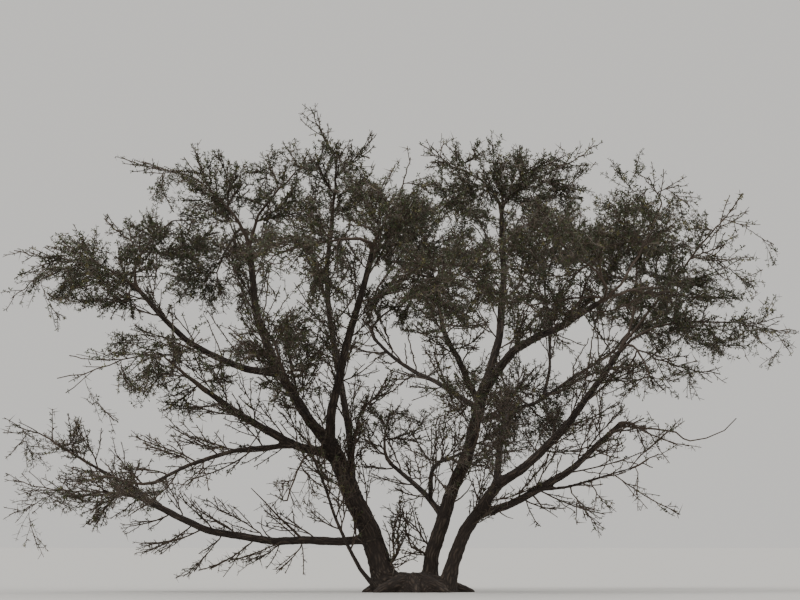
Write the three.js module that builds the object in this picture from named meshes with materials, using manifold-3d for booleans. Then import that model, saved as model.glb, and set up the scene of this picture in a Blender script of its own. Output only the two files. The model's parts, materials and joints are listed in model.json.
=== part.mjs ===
// A wide acacia tree of several stems, as separate solids: a low trunk with its root flare, the stems that
// rise from it, the boughs that fork from them, and the masses of foliage that the boughs carry.
// Millimetres, +Z up. +X is east, and -Y is towards the viewer of the tree's broad side.
// The origin is the middle of the flat cut at ground level, and nothing reaches below it.

import * as THREE from "three";
import { mergeVertices } from "three/addons/utils/BufferGeometryUtils.js";
import Module from "manifold-3d";

const wasm = await Module();
wasm.setup();

// Fits and fineness
const CLEARANCE = 0.3; // between two pieces that meet
const LIMB_SIDES = { stout: 8, slim: 6, stoutFrom: 70 };
const LIMB_STEP = 280; // length of limb between two rings
const LEAST_STEPS = 4;
const COLLAR = 0.28; // how far a limb swells where it leaves its parent, as a share of its radius
const COLLAR_LENGTH = 1.6; // how quickly that swelling fades, in root radii
const HANDLE = 0.38; // how stiffly a limb keeps its first and last heading, as a share of its span
const KINK = {
  every: 330, // distance between two places at which a limb strays to one side or the other
  share: 0.4, // how far it strays there at most, as a share of its radius
  most: 20, // however stout it is
  least: 0.3, // of that, the share that it strays at least
  turn: 0.8, // how irregular the sides are, in half turns
  softness: 0.3, // how gently it bends there
  seed: 31,
};

// Trunk: the short stool that the stems share
const FORK_HEIGHT = 250; // where the trunk ends and each stem is its own piece
const HALVINGS = 30; // in seeking that height along a stem
const FOOT_SWELL = 0.45; // how much wider a stem's foot is at the ground
const BUTTRESS = {
  count: 8,
  seed: 5,
  stray: 0.7, // how far a root strays from an even spacing
  spread: [600, 430], // how far the roots reach in x and y, and the shares of it between which each one ends
  length: [0.72, 1.08],
  from: 0.2, // share of the spread at which they leave the mound, and how high
  height: 95,
  radius: [110, 36],
  sides: 5,
};
const ABOVE = 3000; // edge of the block that leaves only what stands above the ground
const STOOL = { centre: [40, 0], reach: [430, 250], height: 175, sides: 10, rings: 2 };

const BARK = { color: 0x4a3d33, roughness: 0.95, metalness: 0 };
const FOLIAGE = { color: 0x5b6236, roughness: 0.85, metalness: 0 };

// Stems. foot is where a stem's axis meets the ground and tip is where it forks. A heading is
// [bearing, rise] in degrees: bearing 0 is +X and 90 is +Y, and rise is above the horizontal.
// The two radii are at the root and the tip.
const STEMS = {
  stem_west: {
    foot: [-190, 20], tip: [-800, -40, 1520],
    leave: [175, 76], arrive: [185, 68], radius: [118, 84],
  },
  stem_middle: {
    foot: [215, 70], tip: [760, 160, 2040],
    leave: [60, 88], arrive: [20, 80], radius: [80, 58],
  },
  stem_east: {
    foot: [370, -70], tip: [900, -150, 1090],
    leave: [-5, 76], arrive: [-5, 52], radius: [76, 56],
  },
  stem_thin: {
    foot: [-280, -110], tip: [-930, -330, 1310],
    leave: [190, 45], arrive: [190, 66], radius: [25, 14],
  },
};

// Boughs. Each leaves its parent at a share of the parent's length.
const BOUGHS = {
  // low on the west side, sweeping out near the ground
  bough_low_west: {
    from: "stem_west", at: 0.34, tip: [-2590, 260, 900],
    leave: [175, -2], arrive: [178, 32], radius: [46, 34],
  },
  bough_low_west_upper: {
    from: "bough_low_west", at: 0.97, tip: [-3180, 340, 1270],
    leave: [178, 38], arrive: [180, 28], radius: [25, 16],
  },
  // half way up on the west side
  bough_mid_west: {
    from: "stem_west", at: 0.9, tip: [-1990, -400, 1990],
    leave: [180, 6], arrive: [190, 32], radius: [50, 29],
  },
  bough_mid_west_arch: {
    from: "bough_mid_west", at: 0.28, tip: [-2440, -900, 1100],
    leave: [190, -4], arrive: [190, -28], radius: [30, 19],
  },
  // the two that carry the west side of the crown
  bough_high_west: {
    from: "stem_west", at: 0.97, tip: [-1590, 260, 3400],
    leave: [172, 48], arrive: [150, 88], radius: [58, 34],
  },
  bough_far_west: {
    from: "bough_high_west", at: 0.41, tip: [-2660, -120, 2980],
    leave: [180, 3], arrive: [185, 52], radius: [40, 26],
  },
  bough_inner_west: {
    from: "bough_high_west", at: 0.16, tip: [-1180, -560, 2080],
    leave: [235, 30], arrive: [185, 50], radius: [28, 18],
  },
  // upright ones in the middle
  bough_centre_west: {
    from: "stem_west", at: 0.98, tip: [-350, -1500, 3290],
    leave: [300, 80], arrive: [285, 50], radius: [50, 29],
  },
  bough_leader: {
    from: "stem_west", at: 0.62, tip: [-800, 1250, 3640],
    leave: [90, 86], arrive: [75, 62], radius: [40, 26],
  },
  bough_inner_fork: {
    from: "stem_middle", at: 0.36, tip: [-170, 700, 1290],
    leave: [172, 54], arrive: [145, 38], radius: [35, 22],
  },
  bough_inner_cross: {
    from: "bough_inner_fork", at: 0.25, tip: [600, -900, 1400],
    leave: [260, 70], arrive: [315, 20], radius: [25, 17],
  },
  bough_centre_front: {
    from: "stem_middle", at: 0.92, tip: [270, -1750, 2950],
    leave: [215, 62], arrive: [262, 48], radius: [35, 21],
  },
  bough_centre_back: {
    from: "stem_middle", at: 0.9, tip: [-350, 1750, 2620],
    leave: [140, 30], arrive: [118, 30], radius: [30, 19],
  },
  bough_centre_top: {
    from: "stem_middle", at: 0.98, tip: [950, 420, 3800],
    leave: [30, 66], arrive: [110, 86], radius: [47, 28],
  },
  // east side
  bough_high_east: {
    from: "stem_middle", at: 0.98, tip: [1830, -1450, 2800],
    leave: [-20, 58], arrive: [-35, 30], radius: [50, 29],
  },
  bough_far_east: {
    from: "stem_east", at: 0.98, tip: [2110, 90, 2390],
    leave: [5, 30], arrive: [8, 54], radius: [50, 30],
  },
  bough_inner_east: {
    from: "stem_east", at: 0.97, tip: [1040, 1150, 2020],
    leave: [60, 84], arrive: [85, 40], radius: [38, 24],
  },
  bough_back_east: {
    from: "bough_inner_east", at: 0.8, tip: [2000, 1450, 2380],
    leave: [20, 8], arrive: [15, 26], radius: [24, 16],
  },
  bough_back_riser: {
    from: "bough_back_east", at: 0.35, tip: [1430, 1900, 3330],
    leave: [40, 70], arrive: [90, 70], radius: [20, 14],
  },
  bough_low_east: {
    from: "stem_east", at: 0.68, tip: [2080, -600, 1650],
    leave: [0, 16], arrive: [-15, 44], radius: [44, 28],
  },
  bough_low_east_outer: {
    from: "bough_low_east", at: 0.38, tip: [2180, -1100, 1220],
    leave: [-15, 4], arrive: [-22, 13], radius: [19, 11],
  },
};

// Masses of foliage. Each fills its own space: an ellipsoid of this centre and reach, up to where a
// neighbour's space begins. Its stem meets the tip of its bough. Tips are the ends of the long twigs
// that reach out beyond the ellipsoid.
const MASSES = {
  foliage_low_west_upper: {
    on: "bough_low_west_upper", centre: [-3570, 400, 1505], reach: [430, 400, 220],
    tips: [[-3990, 250, 1690], [-3930, 450, 1480]],
  },
  foliage_low_west_fan: {
    on: "bough_low_west", centre: [-3000, 60, 970], reach: [580, 500, 280],
    tips: [[-3950, 0, 1120], [-3840, 250, 980], [-3960, -250, 765], [-3680, -300, 470]],
  },
  foliage_mid_west: {
    on: "bough_mid_west", centre: [-2330, -560, 2270], reach: [760, 560, 370],
    tips: [[-3460, -600, 2110], [-3360, -780, 1960], [-3350, -500, 2340], [-2890, -750, 1690]],
  },
  foliage_mid_west_arch: {
    on: "bough_mid_west_arch", centre: [-2750, -1100, 1120], reach: [400, 380, 180],
    tips: [],
  },
  foliage_far_west: {
    on: "bough_far_west", centre: [-3060, -250, 3210], reach: [640, 740, 380],
    tips: [[-3940, -100, 3410], [-3940, -300, 2920], [-3450, -400, 2690]],
  },
  foliage_far_west_top: {
    on: "bough_far_west", centre: [-2450, 200, 3560], reach: [560, 680, 300],
    tips: [[-3080, 400, 3770]],
  },
  foliage_high_west: {
    on: "bough_high_west", centre: [-2040, 300, 4000], reach: [540, 680, 330],
    tips: [[-2880, 250, 4370], [-2140, 300, 4430]],
  },
  foliage_high_west_back: {
    on: "bough_high_west", centre: [-1900, 1350, 3330], reach: [640, 780, 430],
    tips: [],
  },
  foliage_high_west_top: {
    on: "bough_high_west", centre: [-1240, 250, 4040], reach: [430, 640, 370],
    tips: [[-1440, 450, 4380]],
  },
  foliage_inner_west: {
    on: "bough_inner_west", centre: [-1300, -600, 2420], reach: [600, 660, 500],
    tips: [],
  },
  foliage_front_west: {
    on: "bough_centre_west", centre: [-1060, -1550, 3270], reach: [580, 740, 420],
    tips: [],
  },
  foliage_leader: {
    on: "bough_leader", centre: [-750, 800, 4200], reach: [430, 700, 420],
    tips: [[-1000, 600, 4930], [-355, 700, 4620]],
  },
  foliage_centre_west: {
    on: "bough_centre_west", centre: [-160, -1500, 3680], reach: [500, 700, 420],
    tips: [[20, -1600, 4200]],
  },
  foliage_centre_back: {
    on: "bough_centre_back", centre: [220, 1980, 3780], reach: [740, 780, 420],
    tips: [],
  },
  foliage_centre_low: {
    on: "bough_centre_back", centre: [180, 1350, 3060], reach: [660, 620, 340],
    tips: [],
  },
  foliage_centre_front: {
    on: "bough_centre_front", centre: [440, -2200, 3000], reach: [560, 600, 430],
    tips: [],
  },
  foliage_centre_top: {
    on: "bough_centre_top", centre: [590, 50, 4140], reach: [380, 720, 350],
    tips: [[150, 150, 4490], [360, 200, 4530]],
  },
  foliage_centre_top_east: {
    on: "bough_centre_top", centre: [1310, 450, 4130], reach: [400, 720, 370],
    tips: [[1900, 450, 4520], [2150, 400, 4280]],
  },
  foliage_front_east: {
    on: "bough_high_east", centre: [1300, -1900, 3350], reach: [540, 660, 410],
    tips: [],
  },
  foliage_under_high: {
    on: "bough_high_east", centre: [1330, -1150, 2800], reach: [560, 560, 320],
    tips: [],
  },
  foliage_high_east: {
    on: "bough_high_east", centre: [2330, -1100, 3570], reach: [540, 660, 410],
    tips: [[2350, -1100, 4050], [2650, -1000, 3990]],
  },
  foliage_high_east_low: {
    on: "bough_high_east", centre: [2460, -750, 2940], reach: [440, 540, 260],
    tips: [],
  },
  foliage_back_riser: {
    on: "bough_back_riser", centre: [1600, 2000, 3640], reach: [580, 720, 400],
    tips: [],
  },
  foliage_far_east_top: {
    on: "bough_far_east", centre: [2180, 450, 3460], reach: [500, 680, 380],
    tips: [],
  },
  foliage_far_east: {
    on: "bough_far_east", centre: [2830, -100, 3320], reach: [570, 740, 430],
    tips: [[3300, 0, 3900], [3410, -200, 3640], [3660, -100, 3470], [3700, 100, 3270]],
  },
  foliage_shelf_east: {
    on: "bough_far_east", centre: [2980, 100, 2630], reach: [640, 720, 260],
    tips: [[3890, 100, 2620], [3800, -100, 2420], [3600, -200, 2300]],
  },
  foliage_under_east: {
    on: "bough_far_east", centre: [2320, -400, 2190], reach: [540, 560, 190],
    tips: [[3100, -350, 2160], [2790, -450, 1970], [2570, -300, 1760]],
  },
  foliage_back_east: {
    on: "bough_back_east", centre: [2360, 1650, 2830], reach: [580, 680, 320],
    tips: [],
  },
  foliage_low_east: {
    on: "bough_low_east", centre: [2230, -620, 1620], reach: [290, 320, 170],
    tips: [[3250, -600, 1730], [2760, -700, 1440]],
  },
  foliage_low_east_outer: {
    on: "bough_low_east_outer", centre: [2300, -1130, 1290], reach: [250, 280, 120],
    tips: [[2210, -1250, 950]],
  },
  foliage_inner_fork: {
    on: "bough_inner_fork", centre: [-180, 900, 1690], reach: [420, 480, 300],
    tips: [],
  },
  foliage_inner_cross: {
    on: "bough_inner_cross", centre: [600, -1150, 1900], reach: [430, 480, 340],
    tips: [],
  },
  foliage_inner_east: {
    on: "bough_inner_east", centre: [1260, 1350, 1870], reach: [520, 560, 430],
    tips: [],
  },
  foliage_thin_stem: {
    on: "stem_thin", centre: [-1130, -520, 1000], reach: [330, 320, 190],
    tips: [],
  },
};

// How a mass grows
const SHELL_PER_TWIG = 127000; // share of a space's shell, in square millimetres, for each twig
const LEAST_TWIGS = 2; // beside those and the tips, in each mass
const GOLDEN = 0.618034;
const SHELL = [0.75, 1]; // where twigs end, as shares of the space's reach
const STEM = {
  radius: [15, 8],
  share: 0.6, // the most of its bough's tip radius that its own may be
  sunk: 2, // how far inside the bough's tip it begins, in its own radii
  bend: 0.4, // how long it keeps the bough's heading, as a share of its span
  pastCentre: 0.3, // how far it runs on past the middle of its space
  nodes: 5,
  sides: 3,
};
const TWIG = { radius: 9, onParent: 0.9, onTwig: 0.8 }; // and the most of a parent's radius that it may have
const TURN_COST = 0.6; // how much a twig avoids turning back
const WANDER_COST = 0.2; // how much it avoids starting far from the bough
const CROWDING = 160; // how much further away a node counts for each twig that already starts there
const SPACE_MARGIN = 0.07; // between two masses' spaces, as a share of their reach
const LIMB_MARGIN = 24; // between a twig and any limb
const SAMPLE = 45; // distance between the points of a twig that are tested
const FORKS = [0.38, 0.62]; // shares of a twig's length at which others may start
const TAPER = 0.7; // of a twig's radius up to its tip
const SUNK = 1; // how far back along its parent's axis a twig begins, in the parent's radii
const ROOT = 2.2; // distance over which a twig widens from that point, in its own radii
const TRIES = 5; // places from which a twig may try to reach its end
const SPRAY = {
  slimness: 0.13, // half its width as a share of its length, within the next limits
  halfWidth: [50, 95],
  thickness: 0.4, // as a share of that half width
  widest: 0.45, // where it is widest, as a share of its length, but no further than this from its tip
  reach: 380,
  beside: [320, 480], // length of a spray beside a twig
  least: 300, // the shortest twig that has sprays beside it
  outward: 0.56, // how far such a spray turns from its twig's direction to square with it
  past: 1.2, // how far out such a spray may reach, in its space's reach
};

const UP = new THREE.Vector3(0, 0, 1);
const EAST = new THREE.Vector3(1, 0, 0);
const STEEP = 0.9; // upward part of a direction above which "level" isn't defined well enough
const radians = THREE.MathUtils.degToRad;
const lerp = THREE.MathUtils.lerp;

// Unit vector of a [bearing, rise] heading.
function heading([bearing, rise]) {
  const [turn, lift] = [radians(bearing), radians(rise)];
  return new THREE.Vector3(Math.cos(lift) * Math.cos(turn), Math.cos(lift) * Math.sin(turn), Math.sin(lift));
}

// Repeatable random numbers from 0 to 1.
function seeded(seed) {
  let state = seed >>> 0;
  return () => {
    state = (state + 0x6d2b79f5) >>> 0;
    let t = Math.imul(state ^ (state >>> 15), state | 1);
    t ^= t + Math.imul(t ^ (t >>> 7), t | 61);
    return ((t ^ (t >>> 14)) >>> 0) / 4294967296;
  };
}

// A closed BufferGeometry as a solid that can be joined and cut.
function solidOf(geometry) {
  return new wasm.Manifold(
    new wasm.Mesh({
      numProp: 3,
      vertProperties: geometry.getAttribute("position").array,
      triVerts: new Uint32Array(geometry.index.array),
    }),
  );
}

// A joined or cut solid as a BufferGeometry.
function geometryOf(solid) {
  const mesh = solid.getMesh();
  return new THREE.BufferGeometry()
    .setAttribute("position", new THREE.BufferAttribute(new Float32Array(mesh.vertProperties), 3))
    .setIndex(new THREE.BufferAttribute(new Uint32Array(mesh.triVerts), 1));
}

// The largest body of a solid, without loose scraps and with sealed hollows filled.
function wholeBody(solid) {
  return solid.decompose().reduce((best, body) => (body.volume() > best.volume() ? body : best));
}

// A solid from its corners and triangles, turned outside out where they wind the other way.
function closedSolid(corners, index) {
  const geometry = new THREE.BufferGeometry().setFromPoints(corners).setIndex(index);
  const made = solidOf(geometry);
  if (made.volume() > 0) return made;
  const flipped = index.map((_, i) => index[i - (i % 3) + [0, 2, 1][i % 3]]);
  return solidOf(geometry.setIndex(flipped));
}

// Unit vector square to a direction, level where it can be.
function squareTo(lead) {
  return new THREE.Vector3().crossVectors(Math.abs(lead.z) > STEEP ? EAST : UP, lead).normalize();
}

// Closed tube through points with a radius at each.
function tube(points, radii, sides) {
  const frames = new THREE.CatmullRomCurve3(points).computeFrenetFrames(points.length - 1);
  const corners = points.flatMap((point, ring) =>
    Array.from({ length: sides }, (_, k) => {
      const angle = (2 * Math.PI * k) / sides;
      return point
        .clone()
        .addScaledVector(frames.normals[ring], radii[ring] * Math.cos(angle))
        .addScaledVector(frames.binormals[ring], radii[ring] * Math.sin(angle));
    }),
  );
  const start = corners.push(points[0]) - 1;
  const end = corners.push(points.at(-1)) - 1;
  const index = [];
  for (let k = 0; k < sides; k++) {
    const next = (k + 1) % sides;
    for (let near = 0; near + sides < start; near += sides) {
      const far = near + sides;
      index.push(near + k, near + next, far + next, near + k, far + next, far + k);
    }
    index.push(next, k, start, start - sides + k, start - sides + next, end);
  }
  return closedSolid(corners, index);
}

// A stem or bough: its course, its radius, and the share of its length from which it is its own solid.
class Limb {
  constructor(start, spec, number) {
    this.firstShare = 0;
    this.radius = spec.radius;
    this.sides = spec.radius[0] < LIMB_SIDES.stoutFrom ? LIMB_SIDES.slim : LIMB_SIDES.stout;
    const tip = new THREE.Vector3(...spec.tip);
    const span = start.distanceTo(tip);
    const bow = new THREE.CubicBezierCurve3(
      start,
      start.clone().addScaledVector(heading(spec.leave), HANDLE * span),
      tip.clone().addScaledVector(heading(spec.arrive), -HANDLE * span),
      tip,
    );
    this.curve = new THREE.CatmullRomCurve3(this.kinked(bow, number), false, "catmullrom", KINK.softness);
    this.length = this.curve.getLength();
  }

  // Points along a bow that stray from it between its ends, each limb's in its own way.
  kinked(bow, number) {
    const random = seeded(KINK.seed + number);
    const count = Math.max(2, Math.round(bow.getLength() / KINK.every));
    return Array.from({ length: count + 1 }, (_, i) => {
      const [share, turn, size] = [i / count, i + KINK.turn * random(), lerp(KINK.least, 1, random())];
      const stray = i % count ? size * Math.min(KINK.share * lerp(...this.radius, share), KINK.most) : 0;
      const lead = bow.getTangentAt(share);
      const side = squareTo(lead).applyAxisAngle(lead, Math.PI * turn);
      return bow.getPointAt(share).addScaledVector(side, stray);
    });
  }

  // Radius at a share of the length, with the swelling at the root.
  radiusAt(share) {
    const swell = COLLAR * Math.exp((-share * this.length) / (COLLAR_LENGTH * this.radius[0]));
    return lerp(this.radius[0], this.radius[1], share) * (1 + swell);
  }

  // The solid between two shares of the length, wider by `more`.
  solid(more = 0, from = this.firstShare, to = 1, radiusAt = (share) => this.radiusAt(share)) {
    const steps = Math.max(to < 1 ? 1 : LEAST_STEPS, Math.round(((to - from) * this.length) / LIMB_STEP));
    const shares = Array.from({ length: steps + 1 }, (_, i) => lerp(from, to, i / steps));
    const widen = more / Math.cos(Math.PI / this.sides);
    const points = shares.map((share) => this.curve.getPointAt(share));
    points[0].addScaledVector(this.curve.getTangentAt(from), -more);
    points[steps].addScaledVector(this.curve.getTangentAt(to), more);
    return tube(points, shares.map((share) => radiusAt(share) + widen), this.sides);
  }

  // Points along the limb with their radii, for testing what comes near it.
  samples() {
    const count = Math.ceil(this.length / SAMPLE);
    return Array.from({ length: count + 1 }, (_, i) => ({
      at: this.curve.getPointAt(i / count),
      radius: this.radiusAt(i / count),
    }));
  }
}

// The share of a stem's length at which it passes a height.
function shareAtHeight(limb, height) {
  let [low, high] = [0, 1];
  for (let i = 0; i < HALVINGS; i++) {
    const middle = (low + high) / 2;
    if (limb.curve.getPointAt(middle).z < height) low = middle;
    else high = middle;
  }
  return low;
}

// The stool: a low mound, buttress roots round it and the swollen foot of each stem, cut flat at the ground.
function trunkSolid(stems) {
  const parts = stems.map((stem) => {
    const swell = (share) => 1 + FOOT_SWELL * (1 - share / stem.firstShare);
    return stem.solid(0, 0, stem.firstShare, (share) => swell(share) * stem.radiusAt(stem.firstShare));
  });
  const mound = new THREE.SphereGeometry(1, STOOL.sides, 2 * STOOL.rings);
  mound.rotateX(Math.PI / 2);
  mound.scale(STOOL.reach[0], STOOL.reach[1], STOOL.height);
  mound.translate(STOOL.centre[0], STOOL.centre[1], 0);
  parts.push(solidOf(merged(mound)));
  const random = seeded(BUTTRESS.seed);
  const [inner, outer] = BUTTRESS.radius;
  for (let k = 0; k < BUTTRESS.count; k++) {
    const bearing = (360 * (k + BUTTRESS.stray * (random() - 0.5))) / BUTTRESS.count;
    const out = heading([bearing, 0]).multiply(new THREE.Vector3(...BUTTRESS.spread, 0));
    const centre = new THREE.Vector3(...STOOL.centre, 0);
    const tip = centre.clone().addScaledVector(out, lerp(...BUTTRESS.length, random()));
    const root = centre.addScaledVector(out, BUTTRESS.from).setZ(BUTTRESS.height);
    parts.push(tube([root, tip], [inner, outer], BUTTRESS.sides));
  }
  const above = new THREE.BoxGeometry(ABOVE, ABOVE, ABOVE).translate(0, 0, ABOVE / 2);
  const stool = wasm.Manifold.union(parts).intersect(solidOf(merged(above)));
  return wholeBody(stems.reduce((left, stem) => left.subtract(stem.solid(CLEARANCE)), stool));
}

// A three.js geometry with only positions, and its shared vertices merged.
function merged(geometry) {
  geometry.deleteAttribute("normal");
  geometry.deleteAttribute("uv");
  return mergeVertices(geometry);
}

// The space that a mass keeps to.
class Space {
  constructor({ centre, reach }) {
    this.centre = new THREE.Vector3(...centre);
    this.reach = new THREE.Vector3(...reach);
  }

  // 0 at the centre and 1 on the ellipsoid.
  depth(p) {
    return p.clone().sub(this.centre).divide(this.reach).length();
  }

  // The number of twigs that fill it, beside the tips.
  twigCount() {
    const { x, y, z } = this.reach;
    return LEAST_TWIGS + Math.round((x * y + y * z + z * x) / SHELL_PER_TWIG);
  }

  // A point at spherical coordinates in the ellipsoid.
  point(height, turn, share) {
    const flat = Math.sqrt(1 - height * height);
    return new THREE.Vector3(flat * Math.cos(turn), flat * Math.sin(turn), height)
      .multiplyScalar(share)
      .multiply(this.reach)
      .add(this.centre);
  }
}

// Points spread evenly over the outer part of a space, each mass's turned to another bearing.
function targetsIn(space, offset, count) {
  return Array.from({ length: count }, (_, k) => {
    const share = lerp(...SHELL, (k * GOLDEN) % 1);
    return space.point(1 - (2 * k + 1) / count, 2 * Math.PI * GOLDEN * (k + offset), share);
  });
}

// The point inside a parent at which what starts at a node begins.
function rootOn(node) {
  return node.at.clone().addScaledVector(node.lead, -SUNK * node.radius);
}

// A mass of foliage: its stem, its twigs and the sprays on them, as one solid.
class Mass {
  constructor(name, spec, bough, number) {
    Object.assign(this, { name, spec, bough, number });
    this.space = new Space(spec);
    this.random = seeded(number + 1);
    this.nodes = [];
  }

  // True where a point is deeper in this mass's space than in any other's.
  owns(p, masses) {
    const mine = this.space.depth(p);
    return masses.every((other) => other === this || other.space.depth(p) > mine + SPACE_MARGIN);
  }

  // True where the straight way from a to b stays in this mass's space and clear of every limb.
  clear(a, b, masses, limbs) {
    const count = Math.ceil(a.distanceTo(b) / SAMPLE);
    for (let i = 1; i <= count; i++) {
      const p = a.clone().lerp(b, i / count);
      if (!this.owns(p, masses)) return false;
      if (limbs.some((limb) => p.distanceTo(limb.at) < limb.radius + LIMB_MARGIN)) return false;
    }
    return true;
  }

  // Grows the stem, from inside the bough's tip to a little past the middle of the space.
  growStem() {
    const start = this.bough.curve.getPointAt(1);
    const lead = this.bough.curve.getTangentAt(1);
    const end = this.space.centre.clone().lerp(start, -STEM.pastCentre);
    const bend = start.clone().addScaledVector(lead, STEM.bend * start.distanceTo(end));
    const curve = new THREE.QuadraticBezierCurve3(start, bend, end);
    for (let i = 0; i <= STEM.nodes; i++) {
      const share = i / STEM.nodes;
      this.nodes.push({
        at: curve.getPoint(share),
        lead: curve.getTangent(share),
        radius: Math.min(lerp(...STEM.radius, share), STEM.share * this.bough.radius[1]),
        way: share * curve.getLength(),
        taken: 0,
      });
    }
  }

  // The stem's solid, wider by `more`.
  stemSolid(more = 0) {
    const points = this.nodes.slice(0, STEM.nodes + 1).map((node) => node.at.clone());
    points[0].addScaledVector(this.nodes[0].lead, -STEM.sunk * this.nodes[0].radius);
    const widen = more / Math.cos(Math.PI / STEM.sides);
    return tube(points, points.map((_, i) => this.nodes[i].radius + widen), STEM.sides);
  }

  // The places on what has grown so far from which a twig may reach a target, best first.
  nodesFor(target) {
    const cost = (node) => {
      const way = target.clone().sub(node.at);
      const distance = way.length();
      const turn = 1 - way.dot(node.lead) / distance;
      return distance * (1 + TURN_COST * turn) + WANDER_COST * node.way + CROWDING * node.taken;
    };
    const costs = new Map(this.nodes.slice(1).map((node) => [node, cost(node)]));
    return [...costs.keys()].sort((a, b) => costs.get(a) - costs.get(b)).slice(0, TRIES);
  }

  // A three-sided twig from a point inside its parent, broadening into the spray that it bears.
  twig(root, tip, radius, widest = SPRAY.widest) {
    const length = root.distanceTo(tip);
    const width = THREE.MathUtils.clamp(SPRAY.slimness * length, ...SPRAY.halfWidth);
    const lead = tip.clone().sub(root).normalize();
    const flat = squareTo(lead).applyAxisAngle(lead, Math.PI * this.random());
    const thick = new THREE.Vector3().crossVectors(lead, flat);
    const ring = (along, wide, high) => {
      const middle = root.clone().addScaledVector(lead, along);
      const below = middle.clone().addScaledVector(thick, -0.5 * high);
      return [
        middle.addScaledVector(thick, high),
        below.clone().addScaledVector(flat, -wide),
        below.addScaledVector(flat, wide),
      ];
    };
    const spray = ring(widest * length, width, SPRAY.thickness * width);
    const corners = [root, ...ring(ROOT * radius, radius, radius), ...spray, tip];
    const index = [];
    for (let k = 0; k < 3; k++) {
      const next = (k + 1) % 3;
      index.push(0, 1 + next, 1 + k, 1 + k, 1 + next, 4 + next, 1 + k, 4 + next, 4 + k, 4 + k, 4 + next, 7);
    }
    return { solid: closedSolid(corners, index), reached: [...spray, tip] };
  }

  // The twig that reaches a target, with the nodes from which others may start, or null where none is clear.
  reach(target, masses, limbs) {
    const parent = this.nodesFor(target).find((node) => this.clear(node.at, target, masses, limbs));
    if (!parent) return null;
    parent.taken += 1;
    const root = rootOn(parent);
    const length = root.distanceTo(target);
    const lead = target.clone().sub(root).normalize();
    const radius = Math.min(TWIG.radius, TWIG.onParent * parent.radius);
    const { solid } = this.twig(root, target, radius, Math.max(SPRAY.widest, 1 - SPRAY.reach / length));
    const nodes = FORKS.map((share) => ({
      at: root.clone().lerp(target, share),
      lead,
      radius: radius * (1 - TAPER * share),
      way: parent.way + share * length,
      taken: 0,
    }));
    this.nodes.push(...nodes);
    return { solid, nodes: length < SPRAY.least ? [] : nodes };
  }

  // The spray beside a twig at one of its nodes, or null where it would leave the space or touch a limb.
  sprayBeside(node, masses, limbs) {
    const side = squareTo(node.lead).applyAxisAngle(node.lead, 2 * Math.PI * this.random());
    const out = node.lead.clone().lerp(side, SPRAY.outward).normalize();
    const tip = node.at.clone().addScaledVector(out, lerp(...SPRAY.beside, this.random()));
    const { solid, reached } = this.twig(rootOn(node), tip, TWIG.onTwig * node.radius);
    const inside = this.space.depth(tip) < SPRAY.past;
    return inside && reached.every((p) => this.clear(node.at, p, masses, limbs)) ? solid : null;
  }

  // The whole mass, cut clear of what stands before it.
  solid(masses, limbs, obstacles) {
    const parts = [this.stemSolid()];
    const foot = this.nodes[0].at;
    const tips = this.spec.tips.map((tip) => new THREE.Vector3(...tip));
    const targets = targetsIn(this.space, this.number, this.space.twigCount());
    targets.sort((a, b) => a.distanceTo(foot) - b.distanceTo(foot));
    for (const target of [...tips, ...targets]) {
      const grown = this.reach(target, masses, limbs);
      if (!grown) continue;
      const beside = grown.nodes.map((node) => this.sprayBeside(node, masses, limbs));
      parts.push(grown.solid, ...beside.filter((spray) => spray));
    }
    return wholeBody(wasm.Manifold.union(parts).subtract(wasm.Manifold.union(obstacles)));
  }
}

const tree = new THREE.Group();
const limbs = new Map();

// Adds a solid to the tree under its name, with a material of its own.
function add(name, solid, finish) {
  const mesh = new THREE.Mesh(geometryOf(solid), new THREE.MeshStandardMaterial(finish));
  mesh.name = name;
  tree.add(mesh);
}

// Stems and trunk
for (const [name, spec] of Object.entries(STEMS)) {
  const limb = new Limb(new THREE.Vector3(...spec.foot, 0), spec, limbs.size);
  limb.firstShare = shareAtHeight(limb, FORK_HEIGHT);
  limbs.set(name, limb);
}
add("trunk", trunkSolid([...limbs.values()]), BARK);

// Each limb starts inside its parent and is cut by the ones that stand before it, all a little widened.
const standing = [];
for (const [name, spec] of Object.entries({ ...STEMS, ...BOUGHS })) {
  const limb = limbs.get(name) ?? new Limb(limbs.get(spec.from).curve.getPointAt(spec.at), spec, limbs.size);
  limbs.set(name, limb);
  add(name, wholeBody(standing.reduce((left, other) => left.subtract(other), limb.solid())), BARK);
  standing.push(limb.solid(CLEARANCE));
}

// Masses, each cut clear of the limbs and of the earlier masses' stems
const samples = [...limbs.values()].flatMap((limb) => limb.samples());
const masses = Object.entries(MASSES).map(([name, spec], i) => new Mass(name, spec, limbs.get(spec.on), i));
masses.forEach((mass) => mass.growStem());
for (const mass of masses) {
  add(mass.name, mass.solid(masses, samples, standing), FOLIAGE);
  standing.push(mass.stemSolid(CLEARANCE));
}

export default tree;
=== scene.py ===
"""Scene of a wide, flat-topped acacia tree of several stems.

The limbs are one skin of fissured bark over the trunk, its stems and its boughs. The crown grows on from the
boughs by the same rule as the solids' masses, carried on to finer shoots, paired spines and small leaves.
Lengths in the tables are millimetres; everything that reaches Blender is in metres.
"""
import json
import logging
import math
from collections.abc import Iterable, Sequence
from dataclasses import dataclass, field, replace
from enum import Enum

import bmesh
import bpy
import numpy as np
from bpy.types import Material, Mesh, Node, NodeSocket, NodeTree, Object
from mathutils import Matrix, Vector
from mathutils.kdtree import KDTree
from numpy import ndarray as Array

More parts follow.
